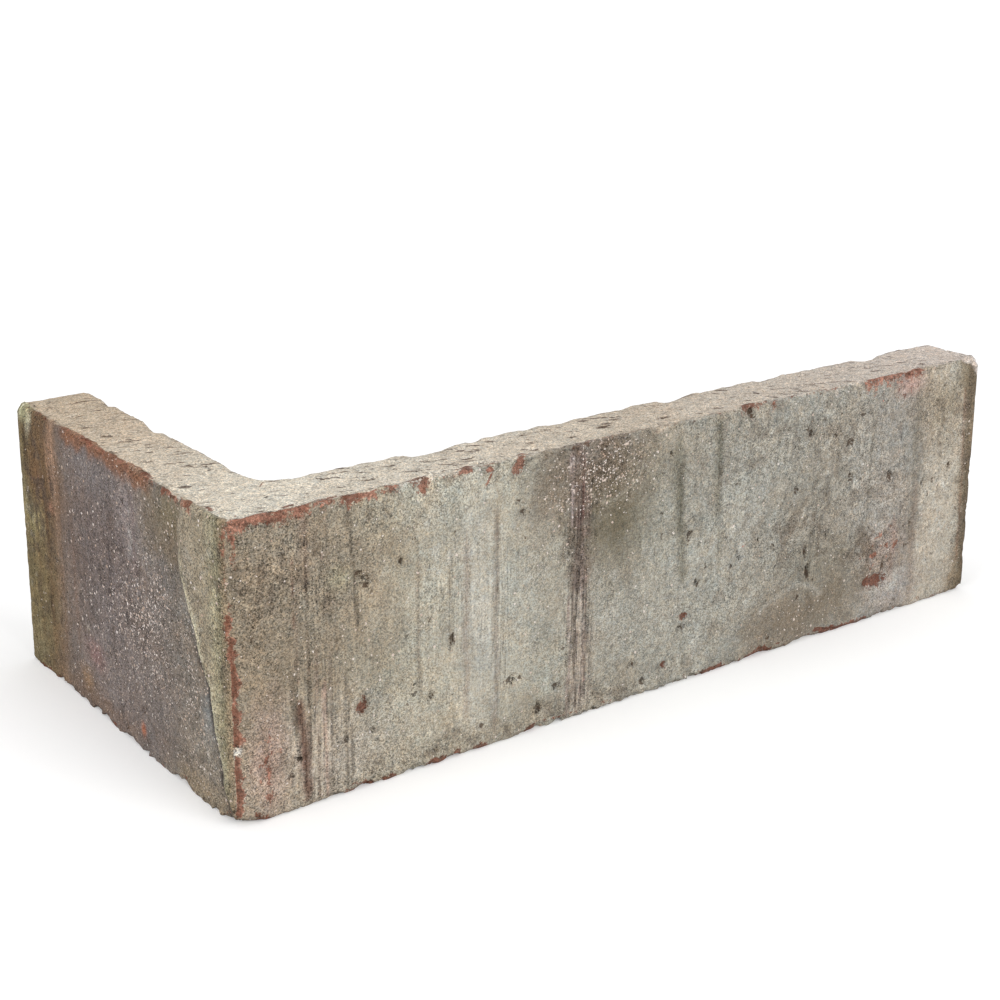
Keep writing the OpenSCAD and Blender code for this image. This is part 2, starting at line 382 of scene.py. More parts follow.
depth_now += on_bed * (0.4 * rough(spots, 1.6, 65) * np.clip(1 - (depth - 1) / 3, 0, 1))


def place_points(depth_mm, height_mm):
    """Points in the CAD frame: the outer point plus the way to the inner point times depth / thickness."""
    share = depth_mm[..., None] / THICKNESS
    flat = outer_line[:, None, :] + (inner_line - outer_line)[:, None, :] * share + CORNER
    return np.concatenate([flat, height_mm[..., None]], -1)


def ease_inner_corner(flat):
    """Round the inner corner: a point of the back within the fillet moves straight away from the outer corner,
    to the circle whose centre is INNER_RADIUS inside both backs."""
    centre = CORNER + THICKNESS + INNER_RADIUS
    toward = flat - centre
    reach = np.hypot(toward[..., 0], toward[..., 1])
    in_fillet = (toward < 0).all(-1) & (reach > INNER_RADIUS)
    eased = centre + toward * (INNER_RADIUS / np.maximum(reach, INNER_RADIUS))[..., None]
    return np.where(in_fillet[..., None], eased, flat)


def lean_ends(p):
    """Both ends lean in: a point near an end moves towards the corner by END_LEAN times its height / HEIGHT,
    and by up to half a millimetre more where the end's arris has crumbled."""
    from_corner = p[..., :2] - CORNER
    lean_x = smoothstep(LENGTH - 30, LENGTH, from_corner[..., 0]) * END_LEAN * p[..., 2] / HEIGHT
    lean_y = smoothstep(RETURN - 30, RETURN, from_corner[..., 1]) * END_LEAN * p[..., 2] / HEIGHT
    ragged_end = 0.9 * np.clip(rough(p, 3.0, 84, 3, 0.7), 0, 1)
    lean_x = lean_x + ragged_end * smoothstep(LENGTH - 3, LENGTH, from_corner[..., 0])
    lean_y = lean_y + ragged_end * smoothstep(RETURN - 3, RETURN, from_corner[..., 1])
    return p - np.stack([lean_x, lean_y, 0 * lean_x], -1)


points = place_points(np.clip(depth_now, 0.02, THICKNESS), height)
back_share = smoothstep(THICKNESS - 6, THICKNESS, depth)[..., None]
points[..., :2] += (ease_inner_corner(points[..., :2]) - points[..., :2]) * back_share
# The tears in the beds lie along one way, drawn out along this direction
TEAR_WAY = math.radians(-21)
turned = np.stack([
    points[..., 0] * math.cos(TEAR_WAY) + points[..., 1] * math.sin(TEAR_WAY),
    -points[..., 0] * math.sin(TEAR_WAY) + points[..., 1] * math.cos(TEAR_WAY),
    points[..., 2],
], -1)
tear_noise = rough(turned, np.array([5.0, 0.9, 5.0]), 71, 2)
tears = 0.68 * smoothstep(0.38, 0.58, tear_noise) * smoothstep(-0.3, 0.2, noise(points, 14.0, 72))
# The larger cracks of the bed: x and y from the outer corner, half length, half width
BED_CRACKS = [(7.3, 54, 2.4, 0.6), (9.5, 86, 1.2, 0.5), (6, 76, 1.3, 0.6), (5, 67, 1.3, 0.6), (6, 59, 1.4, 0.6),
              (2.5, 48.5, 1.6, 0.5), (7, 47.5, 1.5, 0.5), (5.5, 40, 1.2, 0.5), (13, 31, 1.6, 0.5), (4.5, 23, 1.4, 0.8),
              (27, 12, 1.2, 0.5), (33, 7, 1.4, 0.5), (48, 10, 1.5, 0.6), (55, 7, 1.4, 0.6), (57, 12, 1.2, 0.6),
              (56, 3, 1.3, 0.5), (69, 4, 1.1, 0.6), (71, 8, 1.1, 0.6), (73, 13, 1.1, 0.6), (80, 6.5, 1.4, 0.5),
              (79, 13, 1.2, 0.5), (89, 8, 1.4, 0.5), (95, 11, 1.6, 0.6), (103, 6, 1.4, 0.5), (118, 5, 1.8, 0.5),
              (133, 8, 1.4, 0.5), (150, 6, 1.8, 0.5), (168, 9, 1.4, 0.5), (181, 4, 1.2, 0.5)]
crack_rag = rough(points, 1.6, 78, 2)
for x, y, half_length, half_width in BED_CRACKS:
    away = points[..., :2] - CORNER - np.array([x, y])
    way_along = away[..., 0] * math.cos(TEAR_WAY) + away[..., 1] * math.sin(TEAR_WAY)
    way_across = away[..., 1] * math.cos(TEAR_WAY) - away[..., 0] * math.sin(TEAR_WAY)
    reach = np.hypot(way_along / half_length, (way_across + 0.3 * crack_rag) / half_width)
    tears = np.maximum(tears, np.clip(1.6 - reach, 0, 1.3) * on_bed)
spall_places = [(40, 8, 1.5), (52, 3, 0.4), (75, 5, 0.5), (107, 5, 0.9), (137, 4, 0.5), (173, 6, 1.9), (-53, 6, 0.8), (-79, 4, 0.6)]
spall = notches_at(tape, spall_places)[:, None] * smoothstep(THICKNESS - 3.0, THICKNESS, depth)
bed_down = 0.28 * (1 + rough(points, 6.0, 73)) / 2 + 0.16 * (1 + rough(points, 1.2, 74, 2)) / 2 + 0.4 * tears
bed_down += (0.25 + 0.3 * along(3, 75)[:, None]) * smoothstep(THICKNESS - 1.2, THICKNESS, depth)
points[..., 2] -= on_bed * (bed_down + spall) + (on_bed + on_top_arris) * 0.5 * crumbs
points[..., 2] += on_foot * 0.6 * crumbs
points[..., 2] = np.where(on_back > 0, points[..., 2] * (HEIGHT - 0.3 - spall) / HEIGHT, points[..., 2])
points[..., 2] += on_under * 0.25 * (1 + rough(points, 2.5, 76)) / 2 * smoothstep(0, 2, THICKNESS - depth)
points[..., 2] = np.clip(points[..., 2], 0, HEIGHT)
points = lean_ends(points)
print(f"heights from {points[..., 2].min():.2f} to {points[..., 2].max():.2f} mm")

# %% [markdown]
# The two ends close the surface. Each end loop is drawn in towards its own middle line in rings, so the
# end face is a grid too, and a last point closes it.

# %% Close the ends and make the mesh
RINGS = 8


def end_cap(ring_points, into):
    """Vertices that fill a loop: rings shrunk towards the loop's upright middle line, then its centre."""
    low, high = ring_points.min(0), ring_points.max(0)
    middle = (low + high) / 2
    spine = np.stack([0 * ring_points[:, 0] + middle[0], 0 * ring_points[:, 0] + middle[1],
                      np.clip(ring_points[:, 2], low[2] + 7, high[2] - 7)], 1)
    shares = np.linspace(0, 1, RINGS + 1)[1:-1, None, None]
    rings = ring_points[None] * (1 - shares) + spine[None] * shares
    swell_in = 0.35 * (1 + rough(rings, 3.0, 81)) / 2 * smoothstep(0, 0.25, shares[..., 0])
    rings = rings + swell_in[..., None] * np.array(into)
    verts = np.vstack([rings.reshape(-1, 3), spine[:1] * 0 + middle + 0.2 * np.array(into)])
    return verts


grid_verts = points.reshape(-1, 3)
n_stations = len(run)
index = np.arange(n_stations * loop).reshape(n_stations, loop)


def quads(block):
    """Four-cornered faces between the rows of a block of vertex numbers, closed round each row. The corners
    run anticlockwise seen from outside, so the faces point outwards."""
    right = np.roll(block, -1, axis=1)
    return np.stack([block[:-1], block[1:], right[1:], right[:-1]], -1).reshape(-1, 4)


faces = [quads(index)]
verts = [grid_verts]
triangles = []
total = len(grid_verts)
for end, into, flip in ((0, (0, -1, 0), True), (-1, (-1, 0, 0), False)):
    cap_verts = end_cap(points[end], into)
    verts.append(cap_verts)
    rings = np.vstack([index[end][None], total + np.arange((RINGS - 1) * loop).reshape(RINGS - 1, loop)])
    cap_quads = quads(rings)
    centre = total + len(cap_verts) - 1
    last = rings[-1]
    fan = np.stack([last, np.full(loop, centre), np.roll(last, -1)], 1)
    if flip:
        cap_quads, fan = cap_quads[:, ::-1], fan[:, ::-1]
    faces.append(cap_quads)
    triangles.append(fan)
    total += len(cap_verts)
all_verts = np.vstack(verts)
all_quads, all_fans = np.vstack(faces), np.vstack(triangles)


def build_mesh(name, vertices_mm, quad_faces, triangle_faces):
    """A mesh from whole arrays: foreach_set writes vertices, corners and polygons in three calls."""
    mesh = bpy.data.meshes.new(name)
    mesh.vertices.add(len(vertices_mm))
    mesh.vertices.foreach_set("co", (vertices_mm * MM).astype(np.float32).ravel())
    corners = np.concatenate([quad_faces.ravel(), triangle_faces.ravel()]).astype(np.int32)
    mesh.loops.add(len(corners))
    mesh.loops.foreach_set("vertex_index", corners)
    sizes = np.concatenate([np.full(len(quad_faces), 4), np.full(len(triangle_faces), 3)]).astype(np.int32)
    mesh.polygons.add(len(sizes))
    mesh.polygons.foreach_set("loop_start", (np.cumsum(sizes) - sizes).astype(np.int32))
    mesh.polygons.foreach_set("loop_total", sizes)
    mesh.polygons.foreach_set("use_smooth", np.ones(len(sizes), bool))
    mesh.update(calc_edges=True)
    mesh.validate()
    return mesh


corners = np.vstack([all_quads[:, :3], all_quads[:, [0, 2, 3]], all_fans])
sides = all_verts[corners]
volume = np.einsum("ij,ij->i", sides[:, 0], np.cross(sides[:, 1], sides[:, 2])).sum() / 6
print(f"the closed surface holds {volume / 1000:.1f} ml, positive because its faces point outwards")
slip_mesh = build_mesh("worn_slip", all_verts, all_quads, all_fans)
slip = bpy.data.objects.new("worn_slip", slip_mesh)
bpy.context.scene.collection.objects.link(slip)
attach(slip, "root")
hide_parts("corner_slip")
print(f"{len(slip_mesh.vertices)} vertices, {2 * len(all_quads) + len(all_fans)} triangles")

# %% [markdown]
# Colour. The fired clay is red, but little of it shows. A lime and soot bloom covers the faces, greenish
# grey on the long face, scorched purple on the return and cream on the bed. The colours are painted on
# the points of the mesh in layers, as a scene painter would: a ground that drifts along the face, then
# broad blotches, run marks and edges. Each colour is written as it looks on screen and turned into the
# linear values that the renderer works with.


# %% Colours and the painter's tools
def linear(red, green, blue):
    """Screen colour, 0 to 255, to linear 0 to 1: ((c + 0.055) / 1.055) ^ 2.4, or c / 12.92 near black."""
    c = np.array([red, green, blue], float) / 255
    return np.where(c < 0.04045, c / 12.92, ((c + 0.055) / 1.055) ** 2.4)


def ground(stops):
    """Colour along the tape: each stop is a place and a screen colour, blended in between."""
    places = [s[0] for s in stops]
    colours = np.array([linear(*s[1]) for s in stops])
    return np.stack([np.interp(U + 3 * drift, places, colours[:, c]) for c in range(3)], -1)


def lay(paint, weight, colour):
    """Paint laid over paint: the old colour times (1 - weight) plus the new one times weight."""
    return paint * (1 - weight[..., None]) + weight[..., None] * np.asarray(colour)


def patch(u, z, half_u, half_z, lean=0.0):
    """Soft weight of a blotch with a wandering outline: 1 in its middle, 0 at twice its half widths."""
    return soft(oval(u, z, half_u, half_z, lean, 0.45))


LONG_GROUND = [(0, (140, 127, 108)), (8, (141, 130, 113)), (20, (146, 135, 118)), (32, (158, 149, 131)),
               (40, (170, 164, 148)), (56, (168, 163, 149)), (68, (160, 155, 141)), (80, (156, 149, 136)),
               (95, (158, 153, 141)), (112, (153, 149, 138)), (140, (147, 142, 131)), (165, (149, 143, 133)),
               (177, (146, 138, 127)), (181, (168, 158, 144)), (191, (168, 159, 145)), (194.2, (134, 121, 102)),
               (197, (112, 100, 82))]
RETURN_GROUND = [(-92, (112, 98, 70)), (-85, (104, 86, 62)), (-79, (108, 86, 64)), (-74, (120, 98, 80)),
                 (-69, (114, 101, 92)), (-60, (112, 101, 96)), (-45, (115, 104, 100)), (-30, (117, 107, 101)),
                 (-18, (122, 113, 103)), (0, (124, 114, 102))]
BED_GROUND = [(-92, (180, 163, 142)), (-60, (186, 170, 150)), (-30, (197, 185, 168)), (0, (207, 199, 184)),
              (45, (198, 188, 173)), (95, (185, 173, 157)), (150, (188, 177, 165)), (197, (193, 182, 173))]
on_long = (U > 0) & (outer_side > 0)
on_return = (U <= 0) & (outer_side > 0)
paint = np.where((U > 0)[..., None], ground(LONG_GROUND), ground(RETURN_GROUND))
# The bed's cream ends in a ragged line on the upper arris: edge_way is how far a point is below that line
arris_share = np.clip(depth / np.maximum(top_back, 0.1)[:, None], 0, 1)
edge_way = np.where(on_bed > 0, 0.45 * (top_back[:, None] - depth) - 1.4, np.where(on_top_arris > 0, -1.4 * arris_share, 0))
edge_way = edge_way + on_face * (HEIGHT - top_drop[:, None] - Z)
ragged_line = 1.5 * rough(spots, 4.5, 34, 4, 0.7)
ragged_line = ragged_line - 2.2 * np.exp(-((end_gap / 2.5) ** 2))[:, None]
cream = (1 - smoothstep(-0.25, 0.25, edge_way + 0.8 + ragged_line)) * (on_bed + on_top_arris + on_face)
cream = np.maximum(cream, on_under)
paint = lay(paint, cream, ground(BED_GROUND))

# Drift of the bloom: mottles a few millimetres wide, brushed upright lines, and warm and cool tints
mottle = rough(spots, np.array([5.0, 7.0, 5.0]), 35, 4, 0.75)
brushed = rough(spots, np.array([0.9, 18.0, 0.9]), 36, 2, 0.7) * np.clip(noise(spots, 16.0, 37) + 0.5, 0.1, 1)
tint = rough(spots, 6.0, 38, 4, 0.8)
on_sides = np.where(on_bed + on_under + on_back > 0, 0.45, 1.0)
paint = paint * (1 + on_sides * (0.36 * mottle + 0.2 * brushed))[..., None]
paint = paint * (1 + on_sides[..., None] * tint[..., None] * np.array([0.12, -0.01, -0.12]))
print("ground colours laid for", paint.shape[0] * paint.shape[1], "points")

# %% [markdown]
# Broad blotches and run marks of the long face: a brown patch under the grit, an olive stain at the
# foot, darker bloom near the corner, soft grey runs, and scratches that the mould drew downwards.

# %% The long face
# Blotches: u, z, half width, half height, colour, strength, lean
BLOTCHES = [(1.2, 15, 0.5, 0.7, (240, 236, 228), 1.0, 0.0), (11, 10, 12, 9, (180, 168, 152), 0.55, 0.0), (173, 55, 4, 2.2, (186, 150, 138), 0.7, 0.0),
            (118, 50, 10, 7, (138, 132, 120), 0.45, 0.0), (9, 46, 12, 12, (126, 115, 100), 0.5, 0.0), (6, 29, 7, 9, (134, 122, 105), 0.4, 0.0),
            (20, 31, 9, 8, (136, 125, 108), 0.45, 0.0), (30, 50, 8, 6, (139, 128, 111), 0.5, 0.0),
            (33, 34, 6, 8, (150, 139, 123), 0.4, 0.0), (22.5, 43, 2.2, 2, (150, 144, 112), 0.35, 0.0),
            (7, 12, 3.5, 9, (170, 140, 128), 0.55, 0.0), (29, 10, 10, 8, (168, 162, 150), 0.6, 0.0),
            (20, 6, 6, 7, (172, 162, 150), 0.5, 0.0), (45, 46, 7, 7, (160, 156, 145), 0.35, 0.0),
            (66, 40, 7, 10, (166, 163, 152), 0.4, 0.0), (62, 24, 8, 14, (170, 166, 155), 0.4, 0.0),
            (53, 29, 4, 20, (182, 179, 171), 0.45, 0.0), (45, 27, 5, 14, (164, 158, 145), 0.3, 0.0),
            (48, 3, 24, 3, (146, 136, 120), 0.6, 0.0), (71, 34, 5, 12, (148, 140, 126), 0.45, 0.0),
            (83, 52, 12, 8, (100, 87, 76), 0.95, 0.0), (71, 51, 6, 8, (122, 110, 95), 0.7, 0.0),
            (88, 39, 9.5, 10.5, (94, 86, 67), 0.9, 0.0), (97, 51, 8, 6, (138, 130, 114), 0.6, 0.0),
            (93, 20, 13, 13, (163, 159, 148), 0.45, 0.0), (88, 6, 13, 5, (150, 143, 129), 0.45, 0.0),
            (99, 36, 6, 10, (157, 155, 144), 0.4, 0.0), (110, 47, 9, 9, (146, 141, 130), 0.4, 0.0),
            (124, 34, 9, 14, (162, 160, 151), 0.5, 0.0), (111, 17, 10, 10, (155, 152, 142), 0.4, 0.0),
            (133, 47, 9, 8, (154, 151, 142), 0.4, 0.0), (146, 38, 8, 10, (136, 130, 119), 0.5, 0.0),
            (141, 27, 12, 7, (133, 127, 116), 0.5, 0.0), (153, 52, 8, 5, (140, 134, 122), 0.45, 0.0),
            (165, 47, 8, 8, (156, 152, 145), 0.4, 0.0), (166, 28, 7, 8, (154, 148, 141), 0.4, 0.0),
            (138, 6.5, 12, 6, (122, 109, 93), 0.85, 0.0), (151, 11, 8, 8, (120, 110, 95), 0.85, 0.0),
            (146, 19, 8, 4, (128, 121, 107), 0.6, 0.0), (172, 6, 7, 5, (162, 156, 153), 0.6, 0.0),
            (168, 17, 6, 5, (148, 127, 116), 0.5, 0.0), (187, 25, 6, 17, (182, 173, 158), 0.6, 0.0),
            (186, 48, 7, 7, (142, 131, 112), 0.7, 0.0), (183, 7, 5, 6, (172, 164, 151), 0.5, 0.0)]
# Run marks: u at the foot, lowest z, highest z, width, colour, strength, lean
RUNS = [(14.9, 2, 21, 2.2, (112, 84, 70), 0.85, -0.05), (14.4, 5, 20, 1.0, (86, 64, 54), 0.8, -0.05),
        (12.9, 16, 28, 1.2, (88, 76, 64), 0.6, -0.05), (13.3, 26, 57, 1.0, (116, 102, 90), 0.5, 0.03),
        (15.6, 8, 47, 0.8, (108, 94, 80), 0.5, 0.0), (17.0, 2, 31, 1.0, (124, 104, 92), 0.45, 0.0),
        (18.6, 2, 24, 1.2, (166, 134, 122), 0.5, 0.0), (20.0, 4, 31, 0.7, (96, 84, 76), 0.55, 0.0),
        (15.5, 44, 57, 1.4, (104, 84, 74), 0.5, 0.0), (26.3, 32, 56, 0.9, (80, 72, 62), 0.75, -0.08),
        (23.4, 2, 24, 0.8, (84, 76, 66), 0.65, 0.0), (24.6, 2, 13, 0.7, (88, 80, 70), 0.6, 0.0),
        (39.4, 14, 44, 1.2, (118, 106, 92), 0.6, 0.0), (41.5, 20, 33, 0.6, (128, 118, 104), 0.45, 0.0),
        (46.6, 22, 43, 0.8, (122, 112, 98), 0.5, 0.0), (50.2, 8, 45, 1.4, (140, 122, 110), 0.45, 0.0),
        (57.2, 4, 49, 1.4, (116, 102, 90), 0.55, 0.0), (57.4, 33, 47, 0.45, (88, 76, 68), 0.7, 0.0),
        (59.0, 12, 40, 0.6, (134, 126, 112), 0.4, 0.0), (77.8, 1, 35, 5.4, (148, 136, 126), 0.55, 0.0),
        (77.4, 28, 44, 5.4, (82, 69, 62), 0.8, 0.0), (79.3, 4, 33, 1.0, (94, 78, 70), 0.75, 0.0),
        (78.6, 4, 40, 0.5, (176, 158, 148), 0.5, 0.0), (76.3, 5, 33, 1.0, (106, 90, 80), 0.6, 0.0),
        (75.1, 2, 27, 0.8, (148, 126, 120), 0.55, 0.0), (77.0, 42, 58, 4.4, (98, 82, 76), 0.7, 0.0),
        (75.4, 43, 57, 1.1, (172, 156, 154), 0.5, 0.0), (78.2, 43, 56, 0.7, (116, 78, 72), 0.6, 0.0),
        (79.3, 38, 49, 0.5, (216, 178, 168), 0.9, 0.0), (80.3, 38, 48, 0.5, (92, 78, 70), 0.7, 0.0),
        (78.4, 38, 49, 0.5, (92, 72, 66), 0.7, 0.0),
        (105.0, 24, 54, 3.2, (112, 108, 94), 0.65, -0.06), (104.4, 34, 49, 1.5, (82, 80, 70), 0.6, -0.03),
        (115.3, 26, 57, 2.6, (116, 112, 99), 0.6, -0.05), (114.6, 43, 56, 1.7, (90, 88, 76), 0.5, -0.03),
        (131.5, 42, 53, 1.0, (124, 118, 106), 0.4, 0.0), (161.2, 28, 44, 0.7, (80, 74, 66), 0.75, 0.0),
        (161.0, 18, 57, 2.4, (136, 130, 118), 0.35, 0.0), (176.9, 18, 53, 3.0, (114, 108, 97), 0.6, -0.02),
        (178.0, 2, 31, 2.2, (134, 119, 107), 0.5, -0.03), (196.6, 1, 56, 3.0, (98, 86, 70), 0.85, -0.035),
        (194.4, 8, 50, 1.2, (112, 84, 66), 0.6, -0.03), (170.6, 8, 24, 2.0, (146, 120, 108), 0.4, 0.0)]
long_paint = paint
for u, z, half_u, half_z, colour, strength, lean in BLOTCHES:
    long_paint = lay(long_paint, strength * patch(u, z, half_u, half_z, lean), linear(*colour))
for number, (u, z_low, z_high, width, colour, strength, lean) in enumerate(RUNS):
    ramp = streak(u, z_low, z_high, width * (0.7 if width < 1.3 else 0.9), lean, ragged=0.6, seed=number)
    long_paint = lay(long_paint, strength * soft(ramp, 1.2), linear(*colour))
# A pale arc bounds the grit patch below, and another one the olive stain above
for middle_u, middle_z, radius, colour in ((85.5, 54.5, 8.6, (184, 178, 162)), (138, 1.5, 13.0, (184, 180, 170))):
    ring = np.hypot(U - middle_u, Z - middle_z) - radius
    side = (Z < 51) if middle_u < 100 else (Z > 10)
    arc = np.exp(-(((ring + 1.2 * noise(spots, 7.0, 45)) / 0.45) ** 2)) * side * smoothstep(-0.6, 0.2, noise(spots, 5.0, 44))
    long_paint = lay(long_paint, 0.4 * arc, linear(*colour))
paint = np.where(on_long[..., None], long_paint, paint)
print(f"{len(BLOTCHES)} blotches and {len(RUNS)} run marks on the long face")

# %% [markdown]
# The return was next to the fire: purple grey, with an olive margin at the far end, a red line beside
# it, a rusty band under the upper arris, and the khaki fold beside the corner. The fold's free edge gets a
# painted highlight, and the hollow beside it a painted shadow.

# %% The return
# The narrow dark blotch at u -80, z 17 is painted shade in a crack
RETURN_BLOTCHES = [(-45, 12, 20, 8, (138, 127, 121), 0.5, 0.0), (-19, 54, 6, 3, (124, 116, 88), 0.5, 0.0),
                   (-88, 50, 3, 7, (84, 66, 46), 0.8, 0.0), (-81, 47, 7, 10, (106, 83, 58), 0.75, 0.0),
                   (-84, 19, 8, 15, (122, 110, 80), 0.6, 0.0), (-85, 34, 5, 3, (144, 130, 96), 0.6, 0.0),
                   (-75, 50, 2.5, 7, (152, 122, 102), 0.6, 0.0), (-90, 40, 2.5, 14, (136, 126, 92), 0.5, 0.0),
                   (-62, 40, 8, 12, (106, 94, 90), 0.5, 0.0), (-54, 52, 10, 3.5, (126, 119, 117), 0.55, 0.0),
                   (-39, 47, 4.5, 6, (142, 131, 128), 0.65, 0.0), (-32, 46, 4, 6, (132, 126, 118), 0.4, 0.0),
                   (-26, 51, 6, 6, (120, 107, 86), 0.55, 0.0), (-20, 50, 4, 6, (114, 101, 80), 0.5, 0.0),
                   (-47, 34, 8, 10, (108, 98, 95), 0.45, 0.0), (-66, 22, 6, 14, (122, 108, 100), 0.4, 0.0),
                   (-58, 13, 3.5, 2.5, (142, 102, 100), 0.55, 0.0), (-61, 17.8, 0.7, 0.5, (204, 192, 176), 0.7, 0.0),
                   (-30, 22, 14, 12, (112, 103, 96), 0.35, 0.0), (-9, 18, 2.5, 5, (128, 136, 140), 0.6, 0.0),
                   (-12, 2.5, 9, 2.5, (152, 134, 108), 0.7, 0.0), (-58, 2.5, 14, 2.5, (128, 102, 80), 0.5, 0.0),
                   (-88, 5, 5, 6, (138, 128, 98), 0.5, 0.0), (-50, 22, 8, 8, (120, 110, 106), 0.4, 0.0),
                   (-11, 9, 8, 7, (146, 136, 122), 0.5, 0.0), (-87, 33.5, 4, 3, (148, 136, 98), 0.6, 0.0),
                   (-77, 39, 1.5, 1.2, (166, 122, 102), 0.55, 0.0), (-86.5, 55, 1.2, 2.5, (206, 198, 172), 0.7, 0.4),
                   (-91, 57, 4, 2, (190, 190, 154), 0.7, 0.0), (-80, 17, 1.0, 4, (70, 58, 42), 0.7, 0.0),
                   (-79.5, 35, 0.7, 4, (84, 58, 40), 0.8, 0.0), (-89, 50, 0.9, 5, (66, 52, 36), 0.8, 0.0),
                   (-37.4, 4.8, 0.9, 1.3, (178, 102, 64), 0.8, 0.0), (-63, 6, 3, 2, (146, 116, 84), 0.6, 0.0), (-85, 44, 4, 4, (118, 86, 62), 0.5, 0.0)]
RETURN_RUNS = [(-74.2, 33, 59, 1.6, (158, 130, 108), 0.4, 0.02), (-72.5, 10, 41, 1.2, (120, 96, 78), 0.5, 0.0),
               (-79, 12, 57, 1.4, (90, 70, 50), 0.6, 0.0), (-85, 8, 55, 1.3, (94, 76, 52), 0.5, 0.0),
               (-89.5, 5, 40, 1.4, (104, 90, 62), 0.5, 0.0), (-82.5, 3, 30, 1.0, (104, 92, 64), 0.4, 0.0),
               (-48.5, 29, 39, 1.1, (62, 54, 52), 0.6, 0.0), (-36.5, 37, 53, 1.8, (126, 108, 106), 0.35, 0.0),
               (-66, 12, 41, 1.4, (124, 100, 86), 0.4, 0.0)]
return_paint = paint
for u, z, half_u, half_z, colour, strength, lean in RETURN_BLOTCHES:
    return_paint = lay(return_paint, strength * patch(u, z, half_u, half_z, lean), linear(*colour))
for number, (u, z_low, z_high, width, colour, strength, lean) in enumerate(RETURN_RUNS):
    ramp = streak(u, z_low, z_high, width, lean, ragged=0.6, seed=60 + number)
    return_paint = lay(return_paint, strength * soft(ramp, 1.2), linear(*colour))
lip_tone = np.stack([np.interp(U, [-17, -8, -5, -3, -1], stop) for stop in
                     zip(linear(150, 139, 122), linear(152, 141, 120), linear(160, 152, 126),
                         linear(130, 123, 98), linear(140, 121, 98))], -1)
return_paint = lay(return_paint, 0.85 * (1 - beyond), lip_tone * (1 + 0.3 * mottle + 0.2 * brushed)[..., None])
# Painted highlight along the fold's free edge, and painted shadow in the hollow beside it
fold_edge_highlight = np.exp(-(((fold_edge - U + 0.7) / 0.8) ** 2)) * smoothstep(4, 14, Z) * smoothstep(52, 40, Z)
return_paint = lay(return_paint, 0.8 * fold_edge_highlight, linear(190, 183, 158))
fold_shade = np.exp(-(((fold_edge - U - 1.0) / 1.2) ** 2)) * np.interp(Z, [0, 8, 28, 36], [0.7, 1.0, 1.0, 0.1])
return_paint = lay(return_paint, 0.9 * fold_shade, linear(54, 48, 44))
paint = np.where(on_return[..., None], return_paint, paint)
print(f"{len(RETURN_BLOTCHES)} blotches and {len(RETURN_RUNS)} run marks on the return")

# %% [markdown]
# Soot and lime. Dark crusts and pale lime sit in the bloom as ragged crumbs one to three millimetres
# wide, thick in some areas and missing in others. One noise pattern makes the crumbs, and a list of
# areas says how many of them show.

# %% Soot crumbs and lime
# Areas: u, z, half width, half height, amount
SOOT = [(9, 46, 12, 13, 0.6), (6, 34, 7, 8, 0.4), (16.5, 40.5, 4, 4, 1.0), (16, 52, 3, 5, 0.8), (84, 52, 8, 6, 1.0),
        (77.5, 37, 3, 6, 1.0), (77, 52, 4, 6, 0.8), (50, 57, 45, 2, 0.5), (140, 26, 14, 6, 0.7), (120, 16, 8, 6, 0.4),
        (164, 17, 8, 7, 1.0), (157, 50, 4, 4, 0.5), (194.5, 30, 2, 30, 0.8), (60, 3, 50, 2.5, 0.6), (6, 10, 5, 8, 0.5),
        (30, 52, 10, 5, 0.5), (145, 8, 14, 6, 0.4), (140, 48, 40, 9, 0.4), (150, 30, 26, 10, 0.5), (186, 46, 8, 9, 0.6), (-83, 42, 7, 16, 0.9), (-84, 12, 8, 9, 0.5), (-45, 30, 22, 24, 0.4),
        (-20, 36, 8, 12, 0.5), (-12, 9, 7, 8, 0.4), (-3.5, 40, 2, 18, 0.7), (-52, 10, 20, 7, 0.2)]
LIME = [(53, 28, 8, 20, 0.6), (45, 44, 6, 8, 0.7), (66, 28, 9, 16, 0.4), (95, 22, 13, 14, 0.5), (122, 34, 10, 16, 0.6),
        (172, 6, 6, 5, 0.8), (187, 24, 5, 16, 0.8), (29, 10, 11, 9, 0.5), (84, 51, 8, 5, 0.5), (133, 47, 10, 8, 0.4),
        (-39, 47, 5, 6, 0.5), (-10, 45, 5, 12, 0.4), (-9, 16, 3, 6, 0.5), (-90, 30, 4, 26, 0.3), (150, 40, 14, 12, 0.5), (160, 34, 12, 9, 0.6), (110, 8, 12, 6, 0.5), (130, 14, 6, 4, 0.6)]


def amount_of(areas):
    """How much of something each point has: the largest of the areas' soft weights times their amounts."""
    return np.max([amount * patch(u, z, half_u, half_z) for u, z, half_u, half_z, amount in areas], 0)


crumb_size = np.array([1.7, 2.2, 1.7])
soot_crumbs = smoothstep(0.0, 0.35, rough(spots, 1.3 * crumb_size, 111, 2, 0.7) + 0.35 * amount_of(SOOT) - 0.25)
soot = soot_crumbs * np.clip(amount_of(SOOT) + 0.2, 0, 1) * (outer_side > 0)
lime_crumbs = smoothstep(0.05, 0.4, rough(spots, 1.6 * crumb_size, 112, 3, 0.8) + 0.35 * amount_of(LIME) - 0.25)
lime = lime_crumbs * np.clip(amount_of(LIME) + 0.1, 0, 1) * (outer_side > 0)
paint = lay(paint, 0.55 * lime, linear(190, 188, 180))
paint = lay(paint, 0.65 * soot, np.where(U[..., None] > 0, linear(96, 84, 72), linear(70, 60, 54)))
print(f"soot on {100 * (soot > 0.3).mean():.0f} % of the points, lime on {100 * (lime > 0.3).mean():.0f} %")

# %% [markdown]
# Bare clay shows wherever the arrises have crumbled: a red band under the upper arris beside the
# corner, thinner ones further along, strips down the outer corner, and flecks along the lower arris.
# The ramps say how bare each point is, and the material cuts them at 0.5 with a ragged edge.

